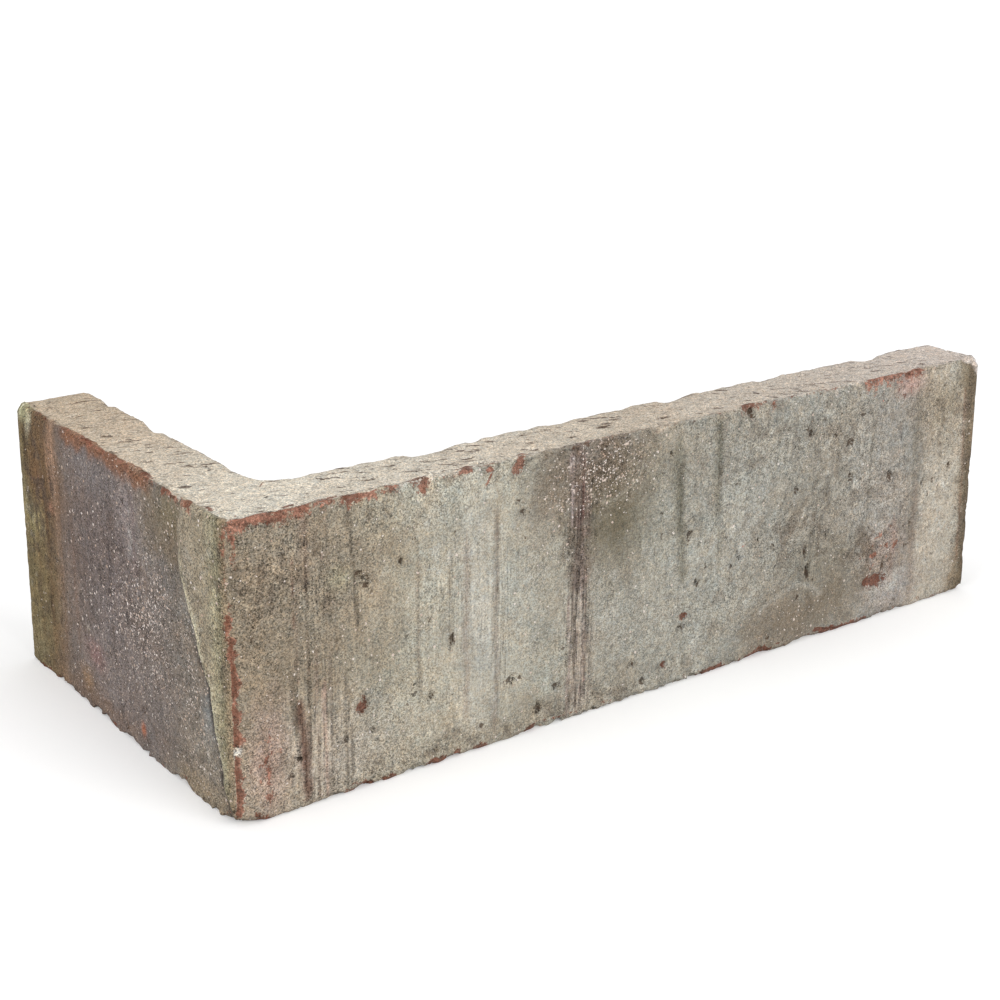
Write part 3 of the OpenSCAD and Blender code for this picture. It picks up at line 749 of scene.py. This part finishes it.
# %% Bare clay along the arrises
# Bands under the upper arris: from u, to u, depth of the band, strength
TOP_BANDS = [(0.5, 17, 1.5, 0.85), (17, 22, 0.8, 0.75), (22, 31, 1.2, 0.75), (31, 43, 0.6, 0.72),
             (43, 58, 0.2, 0.62), (58, 96, 0.1, 0.45), (96, 120, 0.1, 0.5), (120, 132, 0.2, 0.62), (132, 158, 0.1, 0.52),
             (158, 178, 1.5, 0.74), (-24, -12, 0.9, 0.8), (-45, -24, 0.7, 0.56), (-70, -45, 0.7, 0.58), (-88, -70, 0.4, 0.5)]
from_top = (HEIGHT - top_drop)[:, None] - Z
from_foot = Z - foot_rise[:, None]
bare = chip_ramp.copy()
for start, stop, band, strength in TOP_BANDS:
    inside = np.clip(np.minimum(U - start, stop - U) / 1.5, -1, 1)
    reach = (band - edge_way) / (band + 0.8) + 0.3 * rag + 0.6 * crumb_noise
    above = (edge_way + 1.1 + ragged_line) / 0.5
    shown = np.minimum(np.minimum(inside, reach), above)
    bare = np.maximum(bare, strength * np.clip(0.5 + 0.5 * shown, 0, 1) * (on_bed + on_top_arris + on_face))
# Strips down the outer corner: u, lowest z, highest z, width, strength
STRIPS = [(-0.2, 32, 44, 3.0, 0.95), (0.8, 3, 31, 2.0, 0.95), (1.2, 3, 24, 2.0, 0.75), (-1.2, 45, 57, 1.8, 0.62),
          (1.6, 49, 57, 2.0, 0.62), (7.0, 3, 17, 2.4, 0.56)]
raw_strip = np.zeros_like(U)
for number, (u, z_low, z_high, width, strength) in enumerate(STRIPS):
    strip = strength * streak(u, z_low, z_high, width, ragged=0.9, seed=90 + number)
    bare = np.maximum(bare, strip)
    raw_strip = np.maximum(raw_strip, 0.75 * strip)
foot_flecks = smoothstep(0.1, 0.5, along(6, 91))[:, None] * (0.8 - from_foot) / 1.6
raw_foot = np.clip(0.3 + foot_flecks + 0.6 * rag, 0, 0.7) * (on_foot + on_face > 0) * (from_foot < 0.55)
bare = np.maximum(bare, raw_foot)
raw = np.maximum(np.maximum(chip_ramp * np.where(Z > 50, 0.4, 1.1), raw_foot), np.maximum(raw_strip, 0.75 * (U < 0) * bare))
# Gouges in the bed beside the arris: place on the tape, depth behind the face, half length, half depth
GOUGES = [(19.5, 1.8, 2.6, 0.7), (23, 1.2, 1.6, 0.9), (38.5, 1.6, 3.0, 0.8), (12, 2.6, 1.4, 0.4), (49.5, 1.4, 2.6, 0.7),
          (56, 1.8, 1.4, 0.5), (84, 1.6, 3.0, 0.5), (122.5, 1.6, 2.2, 0.9), (137, 1.4, 2.6, 0.5), (-31, 1.6, 2.4, 0.6),
          (-7.5, 2.4, 1.8, 0.5), (-58, 1.6, 3.0, 0.6)]
for u, behind, half_u, half_d in GOUGES:
    ramp = np.clip(1 - (np.hypot((U - u) / half_u, (depth - behind) / (1.3 * half_d)) + 0.5 * rag) / 2, 0, 1)
    bare = np.maximum(bare, 0.9 * ramp * (on_bed + on_top_arris))
    raw = np.maximum(raw, 1.3 * ramp * (on_bed + on_top_arris))
# Crumbs of clay sprinkled in these areas: u, z, half width, half height, amount
FLECKS = [(166, 17, 7, 6, 1.25), (7, 10, 4, 8, 1.0), (4, 54, 5, 4, 0.8), (120, 27, 6, 3, 0.6), (128, 14, 4, 3, 0.6),
          (105, 15, 3, 2, 0.6), (91, 8, 3, 3, 0.5), (193, 28, 2, 20, 0.8), (170, 54, 8, 3, 1.2), (85, 55, 10, 3, 0.5),
          (-62, 3, 10, 3, 0.6), (-84, 42, 6, 12, 0.7), (-3, 20, 4, 18, 0.5)]
fleck_noise = rough(spots, np.array([1.3, 1.6, 1.3]), 92, 2, 0.7)
bare = np.maximum(bare, 0.72 * smoothstep(0.12, 0.45, fleck_noise) * amount_of(FLECKS))
bare *= ((outer_side + on_bed) > 0) * (1 - 0.9 * patch(1.2, 15, 0.6, 0.8))
bare = np.maximum(bare, 0.46 * crumbs * on_top_arris + 0.2 * rag * crumbs)
bare = np.maximum(bare, 0.62 * on_back)
# The rusty band under the return's upper arris fades out downwards
rust_band = smoothstep(2.6, 0.3, from_top + 1.2 * rag + 1.4 * crumb_noise) * smoothstep(-72, -66, U) * smoothstep(-26, -32, U)
paint = lay(paint, 0.75 * rust_band * on_return, linear(130, 88, 62))
print(f"{int((bare > 0.5).sum())} points of bare clay")

# %% [markdown]
# Grit. `sand` is how strongly the salt and pepper of the grains shows, and `specks` how many pale grains
# of grit stick in the surface: many on the return and in the grit patch of the long face.

# %% Sand and grit
sand = np.interp(U, [-30, 0, 35, 60, 197], [0.85, 0.85, 0.75, 0.6, 0.65]) + 0.25 * rough(spots, 12.0, 101)
sand = sand + 0.4 * amount_of(SOOT) - 0.3 * patch(142, 8, 14, 7) - 0.2 * patch(53, 28, 8, 20)
sand = np.where(on_bed + on_under > 0, 0.7, sand) + 0.15 * (on_return & (beyond < 0.5))
specks = np.where(U > 0, 0.05, np.interp(U, [-76, -66], [0.03, 0.12]))
band_up = patch(-45, 28, 12, 6, 1.5) + patch(-30, 34, 14, 7, 1.5)
specks = specks + 0.6 * patch(-25, 22, 14, 14) + 0.35 * band_up * (U < 0)
specks = specks + 0.95 * patch(85, 52, 8, 6) + 0.6 * patch(74, 49, 4, 6) + 0.35 * patch(142, 6, 10, 4)
specks = np.where((U < 0) & (beyond < 0.5), 0.08, specks)
specks = np.where(on_bed + on_under + on_back > 0, 0.0, specks)
sawn = on_back
# Flecks: how strongly small dark and pale spots of bloom show
FLECKED = [(145, 36, 50, 20, 1.0), (112, 16, 16, 14, 0.8), (8, 46, 12, 12, 0.7), (30, 8, 22, 6, 0.6), (84, 52, 14, 8, 1.0),
           (78, 30, 4, 30, 0.7), (92, 8, 14, 8, 0.6), (185, 10, 10, 12, 0.6), (165, 16, 10, 8, 1.0), (60, 54, 30, 4, 0.6),
           (-45, 26, 40, 26, 0.5), (-84, 28, 8, 26, 0.9), (-3, 30, 4, 28, 0.7)]
flecked = np.clip(0.25 + amount_of(FLECKED) + 0.2 * rough(spots, 9.0, 102), 0, 1) * (1 - 0.8 * patch(140, 8, 14, 6))
flecked = np.where(on_bed + on_under > 0, 0.65, np.where(on_back > 0, 0.3, flecked))
# Holes: the share of the 2 mm cells of the surface that have a small hole, painted dark as painted shade
holes = np.where(U > 0, 0.1, 0.06) + 0.14 * patch(150, 34, 45, 20) + 0.1 * patch(8, 45, 10, 12)
holes = np.where(on_bed > 0, 0.1, holes) * (on_back == 0) * (1 - 0.6 * patch(142, 8, 14, 7))
# Crevices between the crumbs of the arrises get painted shade, and scrapes are where upright lines are scratched in
crevice_shade = near_arris * smoothstep(0.15, 0.6, rough(spots, np.array([2.4, 1.2, 1.2]), 67, 3, 0.7))
# Scraped areas: u, z, half width, half height, amount
SCRAPES = [(15, 16, 4, 16, 1.0), (20, 14, 4, 14, 0.8), (16, 42, 5, 14, 0.6), (77.5, 18, 3.5, 16, 1.4),
           (77.5, 46, 4, 12, 1.0), (58, 28, 3, 22, 0.6), (47, 30, 9, 18, 0.5), (160, 34, 3, 14, 0.5),
           (143, 18, 3, 12, 0.5), (-87, 28, 5, 26, 0.7), (-75, 38, 3, 20, 0.6), (26, 40, 3, 14, 0.5)]
scrape = np.maximum(0.15 * (outer_side > 0), amount_of(SCRAPES) * (outer_side > 0))


def on_all_points(values, cap_value):
    """A value for every vertex: the grid's own, then for each end face one value, or one of each end's own."""
    flat = values.reshape(n_stations * loop, -1)
    parts = [flat]
    for number in (0, 1):
        value = cap_value if np.ndim(cap_value) == 0 else cap_value[number]
        parts.append(np.zeros((cap_size, flat.shape[1])) + np.reshape(value, (-1, flat.shape[1])))
    return np.vstack(parts)


def write_attribute(name, values, kind="FLOAT"):
    """An attribute on the mesh's points: one number, or a colour with an alpha of 1."""
    attribute = slip_mesh.attributes.new(name, kind, "POINT")
    if kind == "FLOAT_COLOR":
        values = np.hstack([values, np.ones((len(values), 1))])
        attribute.data.foreach_set("color", values.astype(np.float32).ravel())
    else:
        attribute.data.foreach_set("value", values.astype(np.float32).ravel())


# The two end faces are moulded and weathered as the outer faces are: the return's olive, the long leg's grey
cap_size = (RINGS - 1) * loop + 1
cap_points = [all_verts[n_stations * loop + number * cap_size:][:cap_size] for number in (0, 1)]
cap_mottle = [rough(p, 5.0, 114, 4, 0.75) for p in cap_points]
cap_paint = [linear(*tone) * (1 + 0.45 * mottled[:, None]) for tone, mottled in
             zip(((130, 116, 88), (152, 142, 124)), cap_mottle)]
cap_bare = [0.3 + 0.35 * rough(p, 3.5, 115, 3, 0.7) for p in cap_points]
write_attribute("paint", on_all_points(paint, cap_paint), "FLOAT_COLOR")
write_attribute("bare", on_all_points(bare, cap_bare))
write_attribute("raw", on_all_points(raw, 0.0))
write_attribute("pits", on_all_points(pit_ramp * (outer_side > 0), 0.0))
write_attribute("tears", on_all_points(tears * (on_bed + on_under), 0.0))
write_attribute("sand", on_all_points(sand, 0.8))
write_attribute("bed", on_all_points(cream * (on_back == 0), 0.0))
write_attribute("holes", on_all_points(holes, 0.1))
write_attribute("flecked", on_all_points(flecked, 0.5))
write_attribute("specks", on_all_points(specks, 0.05))
write_attribute("sawn", on_all_points(sawn, 0.0))
write_attribute("crevice_shade", on_all_points(crevice_shade, 0.0))
write_attribute("scrape", on_all_points(scrape, 0.1))
print("attributes:", [a.name for a in slip_mesh.attributes if a.domain == "POINT"])

# %% [markdown]
# The material finishes what the points are too coarse for. Grains of sand are cells of a Voronoi
# pattern half a millimetre wide, each a little lighter or darker than its neighbours. Ramps are cut at
# 0.5 after fine noise is added, which gives crumbled edges. The pale grit is a second, larger Voronoi
# pattern, of which only some cells are used. The same patterns drive a fine bump.


# %% Material helpers
class Nodes:
    """Short ways to add shader nodes to one material."""

    def __init__(self, name):
        self.material = bpy.data.materials.new(name)
        self.material.use_nodes = True
        self.tree = self.material.node_tree
        self.tree.nodes.clear()

    def add(self, kind, inputs=(), **settings):
        """A node of this kind. inputs is a list of (socket, value or output) pairs."""
        node = self.tree.nodes.new(kind)
        for key, value in settings.items():
            setattr(node, key, value)
        for socket, value in inputs:
            if isinstance(value, bpy.types.NodeSocket):
                self.tree.links.new(value, node.inputs[socket])
            else:
                node.inputs[socket].default_value = value
        return node

    def math(self, operation, a, b=0.0, c=0.0, clamp=False):
        """One Math node's output."""
        pairs = [(0, a), (1, b)] + ([(2, c)] if operation in ("MULTIPLY_ADD",) else [])
        return self.add("ShaderNodeMath", pairs, operation=operation, use_clamp=clamp).outputs[0]

    def ramp(self, value, low, high, out_low=0.0, out_high=1.0):
        """Smooth step from out_low at low to out_high at high."""
        pairs = [("Value", value), ("From Min", low), ("From Max", high), ("To Min", out_low), ("To Max", out_high)]
        return self.add("ShaderNodeMapRange", pairs, interpolation_type="SMOOTHSTEP").outputs["Result"]

    def mix(self, factor, a, b):
        """Colour a blended to colour b by factor."""
        node = self.add("ShaderNodeMix", data_type="RGBA")
        for socket, value in ((0, factor), (6, a), (7, b)):
            if isinstance(value, bpy.types.NodeSocket):
                self.tree.links.new(value, node.inputs[socket])
            elif socket == 0:
                node.inputs[0].default_value = value
            else:
                node.inputs[socket].default_value = (*value, 1)
        return node.outputs[2]

    def scaled(self, colour, factor):
        """A colour times a number."""
        return self.add("ShaderNodeVectorMath", [(0, colour), ("Scale", factor)], operation="SCALE").outputs[0]

    def attribute(self, name, output="Fac"):
        """A point attribute of the mesh."""
        return self.add("ShaderNodeAttribute", attribute_name=name).outputs[output]

    def pattern(self, where, scale, detail=2.0, roughness=0.6):
        """Noise, 0 to 1, on object coordinates in metres."""
        pairs = [("Vector", where), ("Scale", scale), ("Detail", detail), ("Roughness", roughness)]
        return self.add("ShaderNodeTexNoise", pairs).outputs["Fac"]

    def cells(self, where, scale):
        """Voronoi cells: (distance to the cell's point, a random colour for the cell)."""
        node = self.add("ShaderNodeTexVoronoi", [("Vector", where), ("Scale", scale)])
        return node.outputs["Distance"], node.outputs["Color"]

    def split(self, colour):
        """Red, green and blue of a colour."""
        return self.add("ShaderNodeSeparateColor", [(0, colour)]).outputs


# %% The brick's material
brick = Nodes("weathered_brick")
place = brick.add("ShaderNodeTexCoord").outputs["Object"]
fine = brick.pattern(place, 3400, 2, 0.8)
medium = brick.pattern(place, 420, 4, 0.7)
grain_distance, grain_colour = brick.cells(place, 4200)
grain = brick.split(grain_colour)
upright = brick.add("ShaderNodeMapping", [("Vector", place), ("Scale", (1, 1, 0.05))]).outputs[0]
lines = brick.add("ShaderNodeMath", [(0, brick.ramp(brick.pattern(upright, 1400, 1, 0.5), 0.36, 0.64)),
                                     (1, brick.ramp(brick.pattern(upright, 2800, 1, 0.5), 0.36, 0.64))],
                  operation="ADD").outputs[0]
lines = brick.math("MULTIPLY", lines, 0.5)
paint_in = brick.attribute("paint", "Color")
sand_in = brick.attribute("sand")
scrape_in = brick.attribute("scrape")


def around(value, swing):
    """A 0 to 1 pattern made to swing either side of nothing."""
    return brick.math("MULTIPLY", brick.math("SUBTRACT", value, 0.5), swing)


# Salt and pepper: each grain's own lightness, and finer and broader noise, scaled by the sand attribute
speckle = brick.math("ADD", around(grain[0], 1.15), around(fine, 2.0))
contrast = brick.math("MULTIPLY", brick.math("ADD", speckle, around(medium, 0.6)), sand_in)
contrast = brick.math("ADD", contrast, brick.math("MULTIPLY", around(lines, 0.75), scrape_in))
pepper = brick.math("MULTIPLY", brick.ramp(grain[1], 0.86, 0.95), brick.math("MULTIPLY", sand_in, -0.22))
lightness = brick.math("MAXIMUM", brick.math("ADD", brick.math("ADD", contrast, pepper), 1.04), 0.2)
colour = brick.scaled(paint_in, lightness)
# Warm and cool tints of single grains: red up and blue down, or the other way round
tint_in = brick.math("ADD", around(brick.pattern(place, 900, 3, 0.7), 0.26), around(grain[2], 0.08))
tint_way = brick.add("ShaderNodeVectorMath", [(0, (1.0, 0.1, -1.0)), ("Scale", tint_in)], operation="SCALE").outputs[0]
tint_by = brick.add("ShaderNodeVectorMath", [(0, tint_way), (1, (1.0, 1.0, 1.0))], operation="ADD").outputs[0]
colour = brick.add("ShaderNodeVectorMath", [(0, colour), (1, tint_by)], operation="MULTIPLY").outputs[0]
# Flecks of bloom, half a millimetre to two millimetres wide: dark where one noise is high, pale where another is
flecked_in = brick.attribute("flecked")
dark_fleck = brick.ramp(brick.pattern(place, 700, 4, 0.8), 0.535, 0.61)
pale_fleck = brick.ramp(brick.pattern(brick.add("ShaderNodeMapping", [("Vector", place), ("Location", (0.3, 0.1, 0.2))]).outputs[0],
                                      600, 4, 0.8), 0.54, 0.62)
colour = brick.scaled(colour, brick.math("SUBTRACT", 1.0, brick.math("MULTIPLY", brick.math("MULTIPLY", dark_fleck, flecked_in), 0.4)))
colour = brick.scaled(colour, brick.math("ADD", 1.0, brick.math("MULTIPLY", brick.math("MULTIPLY", pale_fleck, flecked_in), 0.32)))

# Pale grit in two sizes, in the cells whose random number is below the specks attribute; the place is
# warped a little, so that no grain is round
warp = brick.add("ShaderNodeTexNoise", [("Vector", place), ("Scale", 2500), ("Detail", 1.0)]).outputs["Color"]
warped = brick.add("ShaderNodeVectorMath", [(0, warp), (1, (0.0006, 0.0006, 0.0006)), (2, place)],
                   operation="MULTIPLY_ADD").outputs[0]
for cell_scale, share, smallest in ((1400, 0.42, 0.1), (2600, 0.5, 0.15)):
    speck_distance, speck_colour = brick.cells(warped, cell_scale)
    speck = brick.split(speck_colour)
    chosen = brick.math("LESS_THAN", speck[0], brick.math("MULTIPLY", brick.attribute("specks"), share))
    radius = brick.math("MULTIPLY_ADD", speck[2], 0.32, smallest)
    grain_shape = brick.math("LESS_THAN", speck_distance, radius)
    grit_tint = brick.mix(speck[1], tuple(linear(232, 224, 218)), tuple(linear(184, 158, 138)))
    colour = brick.mix(brick.math("MULTIPLY", chosen, grain_shape), colour, grit_tint)

# Bare clay, cut at 0.5 with a ragged edge, from pink dust to dark red
crumbling = brick.math("ADD", around(brick.pattern(place, 1500, 3, 0.8), 1.1), around(medium, 0.7))
bare_mask = brick.ramp(brick.math("ADD", brick.attribute("bare"), crumbling), 0.48, 0.6)
clay_tone = brick.ramp(brick.pattern(place, 380, 5, 0.75), 0.36, 0.64)
clay = brick.mix(clay_tone, tuple(linear(102, 60, 46)), tuple(linear(166, 117, 98)))
raw_mask = brick.math("MULTIPLY", brick.ramp(brick.math("ADD", brick.attribute("raw"), around(medium, 0.9)), 0.4, 0.6), 0.8)
clay = brick.mix(raw_mask, clay, tuple(linear(96, 52, 36)))
clay_grain = brick.math("ADD", around(fine, 3.0), around(brick.pattern(place, 1000, 3, 0.8), 3.4))
clay = brick.scaled(clay, brick.math("MAXIMUM", brick.math("ADD", clay_grain, 1.0), 0.3))
colour = brick.mix(brick.math("MULTIPLY", bare_mask, 0.85), colour, clay)

# Painted shade: pits, holes, crevices and tears are painted dark inside, for the shade in these hollows
pit_rag = brick.math("ADD", crumbling, around(brick.pattern(place, 1500, 2, 0.7), 1.2))
pit_mask = brick.ramp(brick.math("ADD", brick.attribute("pits"), pit_rag), 0.56, 0.7)
wide_warp = brick.add("ShaderNodeTexNoise", [("Vector", place), ("Scale", 1100), ("Detail", 2.0)]).outputs["Color"]
wide_warped = brick.add("ShaderNodeVectorMath", [(0, wide_warp), (1, (0.0022, 0.0022, 0.0022)), (2, place)],
                        operation="MULTIPLY_ADD").outputs[0]
hole_distance, hole_colour = brick.cells(wide_warped, 560)
hole = brick.split(hole_colour)
hole_here = brick.math("LESS_THAN", hole[0], brick.attribute("holes"))
hole_shape = brick.ramp(hole_distance, brick.math("MULTIPLY_ADD", hole[1], 0.18, 0.06),
                        brick.math("MULTIPLY_ADD", hole[1], 0.18, 0.11), 1.0, 0.0)
hole_mask = brick.math("MULTIPLY", brick.math("MULTIPLY", hole_here, hole_shape), brick.ramp(hole[2], 0, 1, 0.4, 1.0))
pit_mask = brick.math("MAXIMUM", pit_mask, hole_mask)
pit_shade_tone = brick.mix(brick.ramp(medium, 0.4, 0.6), tuple(linear(38, 31, 25)), tuple(linear(80, 62, 48)))
colour = brick.mix(brick.math("MULTIPLY", pit_mask, 0.8), colour, pit_shade_tone)
crevice_shade_mask = brick.ramp(brick.math("ADD", brick.attribute("crevice_shade"), crumbling), 0.4, 0.75)
colour = brick.mix(brick.math("MULTIPLY", crevice_shade_mask, 0.75), colour, tuple(linear(84, 58, 44)))
tear_mask = brick.ramp(brick.math("ADD", brick.attribute("tears"), crumbling), 0.55, 0.85)
torn_place = brick.add("ShaderNodeMapping", [("Vector", place), ("Rotation", (0, 0, TEAR_WAY)), ("Scale", (4, 1, 4))],
                       vector_type="TEXTURE").outputs[0]
torn = brick.add("ShaderNodeTexNoise", [("Vector", torn_place), ("Scale", 900), ("Detail", 3.0), ("Roughness", 0.6)])
torn_here = brick.math("MULTIPLY", around(brick.pattern(place, 110, 2, 0.5), 0.35), 1.0)
fine_tears = brick.ramp(brick.math("ADD", torn.outputs["Fac"], torn_here), 0.605, 0.66)
fine_tears = brick.math("MULTIPLY", fine_tears, brick.attribute("bed"))
tear_mask = brick.math("MAXIMUM", tear_mask, fine_tears)
colour = brick.mix(brick.math("MULTIPLY", tear_mask, 0.8), colour, tuple(linear(66, 45, 33)))

# %% Bump and surface of the brick
# Relief too fine for the mesh: grains of sand, and on the backs the saw's straight ridges
ridges = brick.add("ShaderNodeTexWave", [("Vector", place), ("Scale", 900), ("Distortion", 1.5), ("Detail", 2.0)],
                   bands_direction="Z").outputs["Fac"]
saw_height = brick.math("MULTIPLY", ridges, brick.math("MULTIPLY", brick.attribute("sawn"), 0.5))
grain_height = brick.math("ADD", fine, brick.math("MULTIPLY", grain_distance, -0.3))
line_height = brick.math("MULTIPLY", brick.math("MULTIPLY", lines, 1.2), scrape_in)
relief = brick.math("ADD", brick.math("ADD", grain_height, brick.math("MULTIPLY", medium, 1.2)), saw_height)
relief = brick.math("ADD", relief, line_height)
relief = brick.math("SUBTRACT", relief, brick.math("MULTIPLY", brick.math("MAXIMUM", hole_mask, fine_tears), 1.5))
bump = brick.add("ShaderNodeBump", [("Height", relief), ("Strength", 0.6), ("Distance", 0.00028)]).outputs[0]
surface = brick.add("ShaderNodeBsdfPrincipled", [("Base Color", colour), ("Normal", bump), ("Roughness", 0.93),
                                                 ("Specular IOR Level", 0.2)])
brick.add("ShaderNodeOutputMaterial", [("Surface", surface.outputs[0])])
slip_mesh.materials.append(brick.material)
print("brick material has", len(brick.tree.nodes), "nodes")

# %% [markdown]
# A plain pale floor, seen as white by the camera, with the slip's own soft shadow on it, and a white
# surround. The light is soft and frontal: a large lamp in front to the right of the camera, and the
# surround for the rest, at a level where a colour renders about as it is written.

# %% Floor, surround and lamps
FLOOR_SIDE = 6.0
floor_mesh = bpy.data.meshes.new("floor")
half = FLOOR_SIDE / 2
floor_mesh.from_pydata([(-half, -half, 0), (half, -half, 0), (half, half, 0), (-half, half, 0)], [], [(0, 1, 2, 3)])
floor = bpy.data.objects.new("floor", floor_mesh)
bpy.context.scene.collection.objects.link(floor)
ground_look = Nodes("pale_floor")
matt = ground_look.add("ShaderNodeBsdfDiffuse", [("Color", (0.86, 0.86, 0.86, 1))]).outputs[0]
spot = ground_look.add("ShaderNodeTexCoord").outputs["Object"]
distance = ground_look.add("ShaderNodeVectorMath", [(0, spot)], operation="LENGTH").outputs["Value"]
bright = ground_look.ramp(distance, 0.2, 1.2, 0.2, 1.0)
glow = ground_look.add("ShaderNodeEmission", [("Color", (1, 1, 1, 1)), ("Strength", bright)]).outputs[0]
seen = ground_look.add("ShaderNodeAddShader", [(0, matt), (1, glow)]).outputs[0]
rays = ground_look.add("ShaderNodeLightPath")
shown_to = ground_look.math("MAXIMUM", rays.outputs["Is Camera Ray"],
                            ground_look.math("MAXIMUM", rays.outputs["Is Glossy Ray"], rays.outputs["Is Transmission Ray"]))
pale = ground_look.add("ShaderNodeMixShader", [(0, shown_to), (1, matt), (2, seen)]).outputs[0]
ground_look.add("ShaderNodeOutputMaterial", [("Surface", pale)])
floor_mesh.materials.append(ground_look.material)

world = bpy.data.worlds.new("surround")
bpy.context.scene.world = world
world.use_nodes = True
world.node_tree.nodes.clear()
surround = Nodes.__new__(Nodes)
surround.tree = world.node_tree
path = surround.add("ShaderNodeLightPath").outputs
white_ray = surround.math("MAXIMUM", path["Is Camera Ray"],
                          surround.math("MAXIMUM", path["Is Glossy Ray"], path["Is Transmission Ray"]))
AMBIENT = 0.64
strength = surround.ramp(white_ray, 0.0, 1.0, AMBIENT, 1.0)
backdrop = surround.add("ShaderNodeBackground", [("Color", (1, 1, 1, 1)), ("Strength", strength)]).outputs[0]
surround.add("ShaderNodeOutputWorld", [("Surface", backdrop)])


def lamp(name, place_m, size, watts):
    """A square area lamp at place_m, aimed at the middle of the slip."""
    light = bpy.data.lights.new(name, "AREA")
    light.size = size
    light.energy = watts
    thing = bpy.data.objects.new(name, light)
    thing.location = place_m
    thing.rotation_euler = (Vector((0, 0, 0.03)) - Vector(place_m)).to_track_quat("-Z", "Y").to_euler()
    bpy.context.scene.collection.objects.link(thing)
    return thing


lamp("key", (0.2, -1.2, 0.8), 0.8, 9)
lamp("fill", (-1.2, -0.2, 0.7), 0.8, 6)
lamp("overhead", (0.0, 0.2, 1.4), 0.9, 2.5)

# %% [markdown]
# The camera stands where the photographer's did. Its place and lens were worked out from the slip's own
# arrises, which are long and straight enough to give the perspective. A small downward shift stands for
# the picture having been cropped.

# %% Camera
CAMERA_PLACE = (-0.22417, -0.29327, 0.15820)
AZIMUTH, ELEVATION, ROLL = (math.radians(a) for a in (-36.584, 17.246, -0.396))
LENS, SENSOR, SHIFT_Y = 62.57, 36.0, -0.06
back = Vector((math.sin(AZIMUTH) * math.cos(ELEVATION), -math.cos(AZIMUTH) * math.cos(ELEVATION), math.sin(ELEVATION)))
right = Vector((0, 0, 1)).cross(back).normalized()
up = back.cross(right)
level = Matrix((right, up, back)).transposed()
camera_data = bpy.data.cameras.new("camera")
camera_data.lens, camera_data.sensor_width, camera_data.shift_y = LENS, SENSOR, SHIFT_Y
camera_data.clip_start, camera_data.clip_end = 0.01, 50
camera = bpy.data.objects.new("camera", camera_data)
camera.matrix_world = Matrix.Translation(CAMERA_PLACE) @ (level @ Matrix.Rotation(-ROLL, 3, "Z")).to_4x4()
bpy.context.scene.collection.objects.link(camera)
bpy.context.scene.camera = camera
bpy.context.scene.view_settings.view_transform = "Standard"
print("camera at", CAMERA_PLACE, "lens", LENS, "mm")
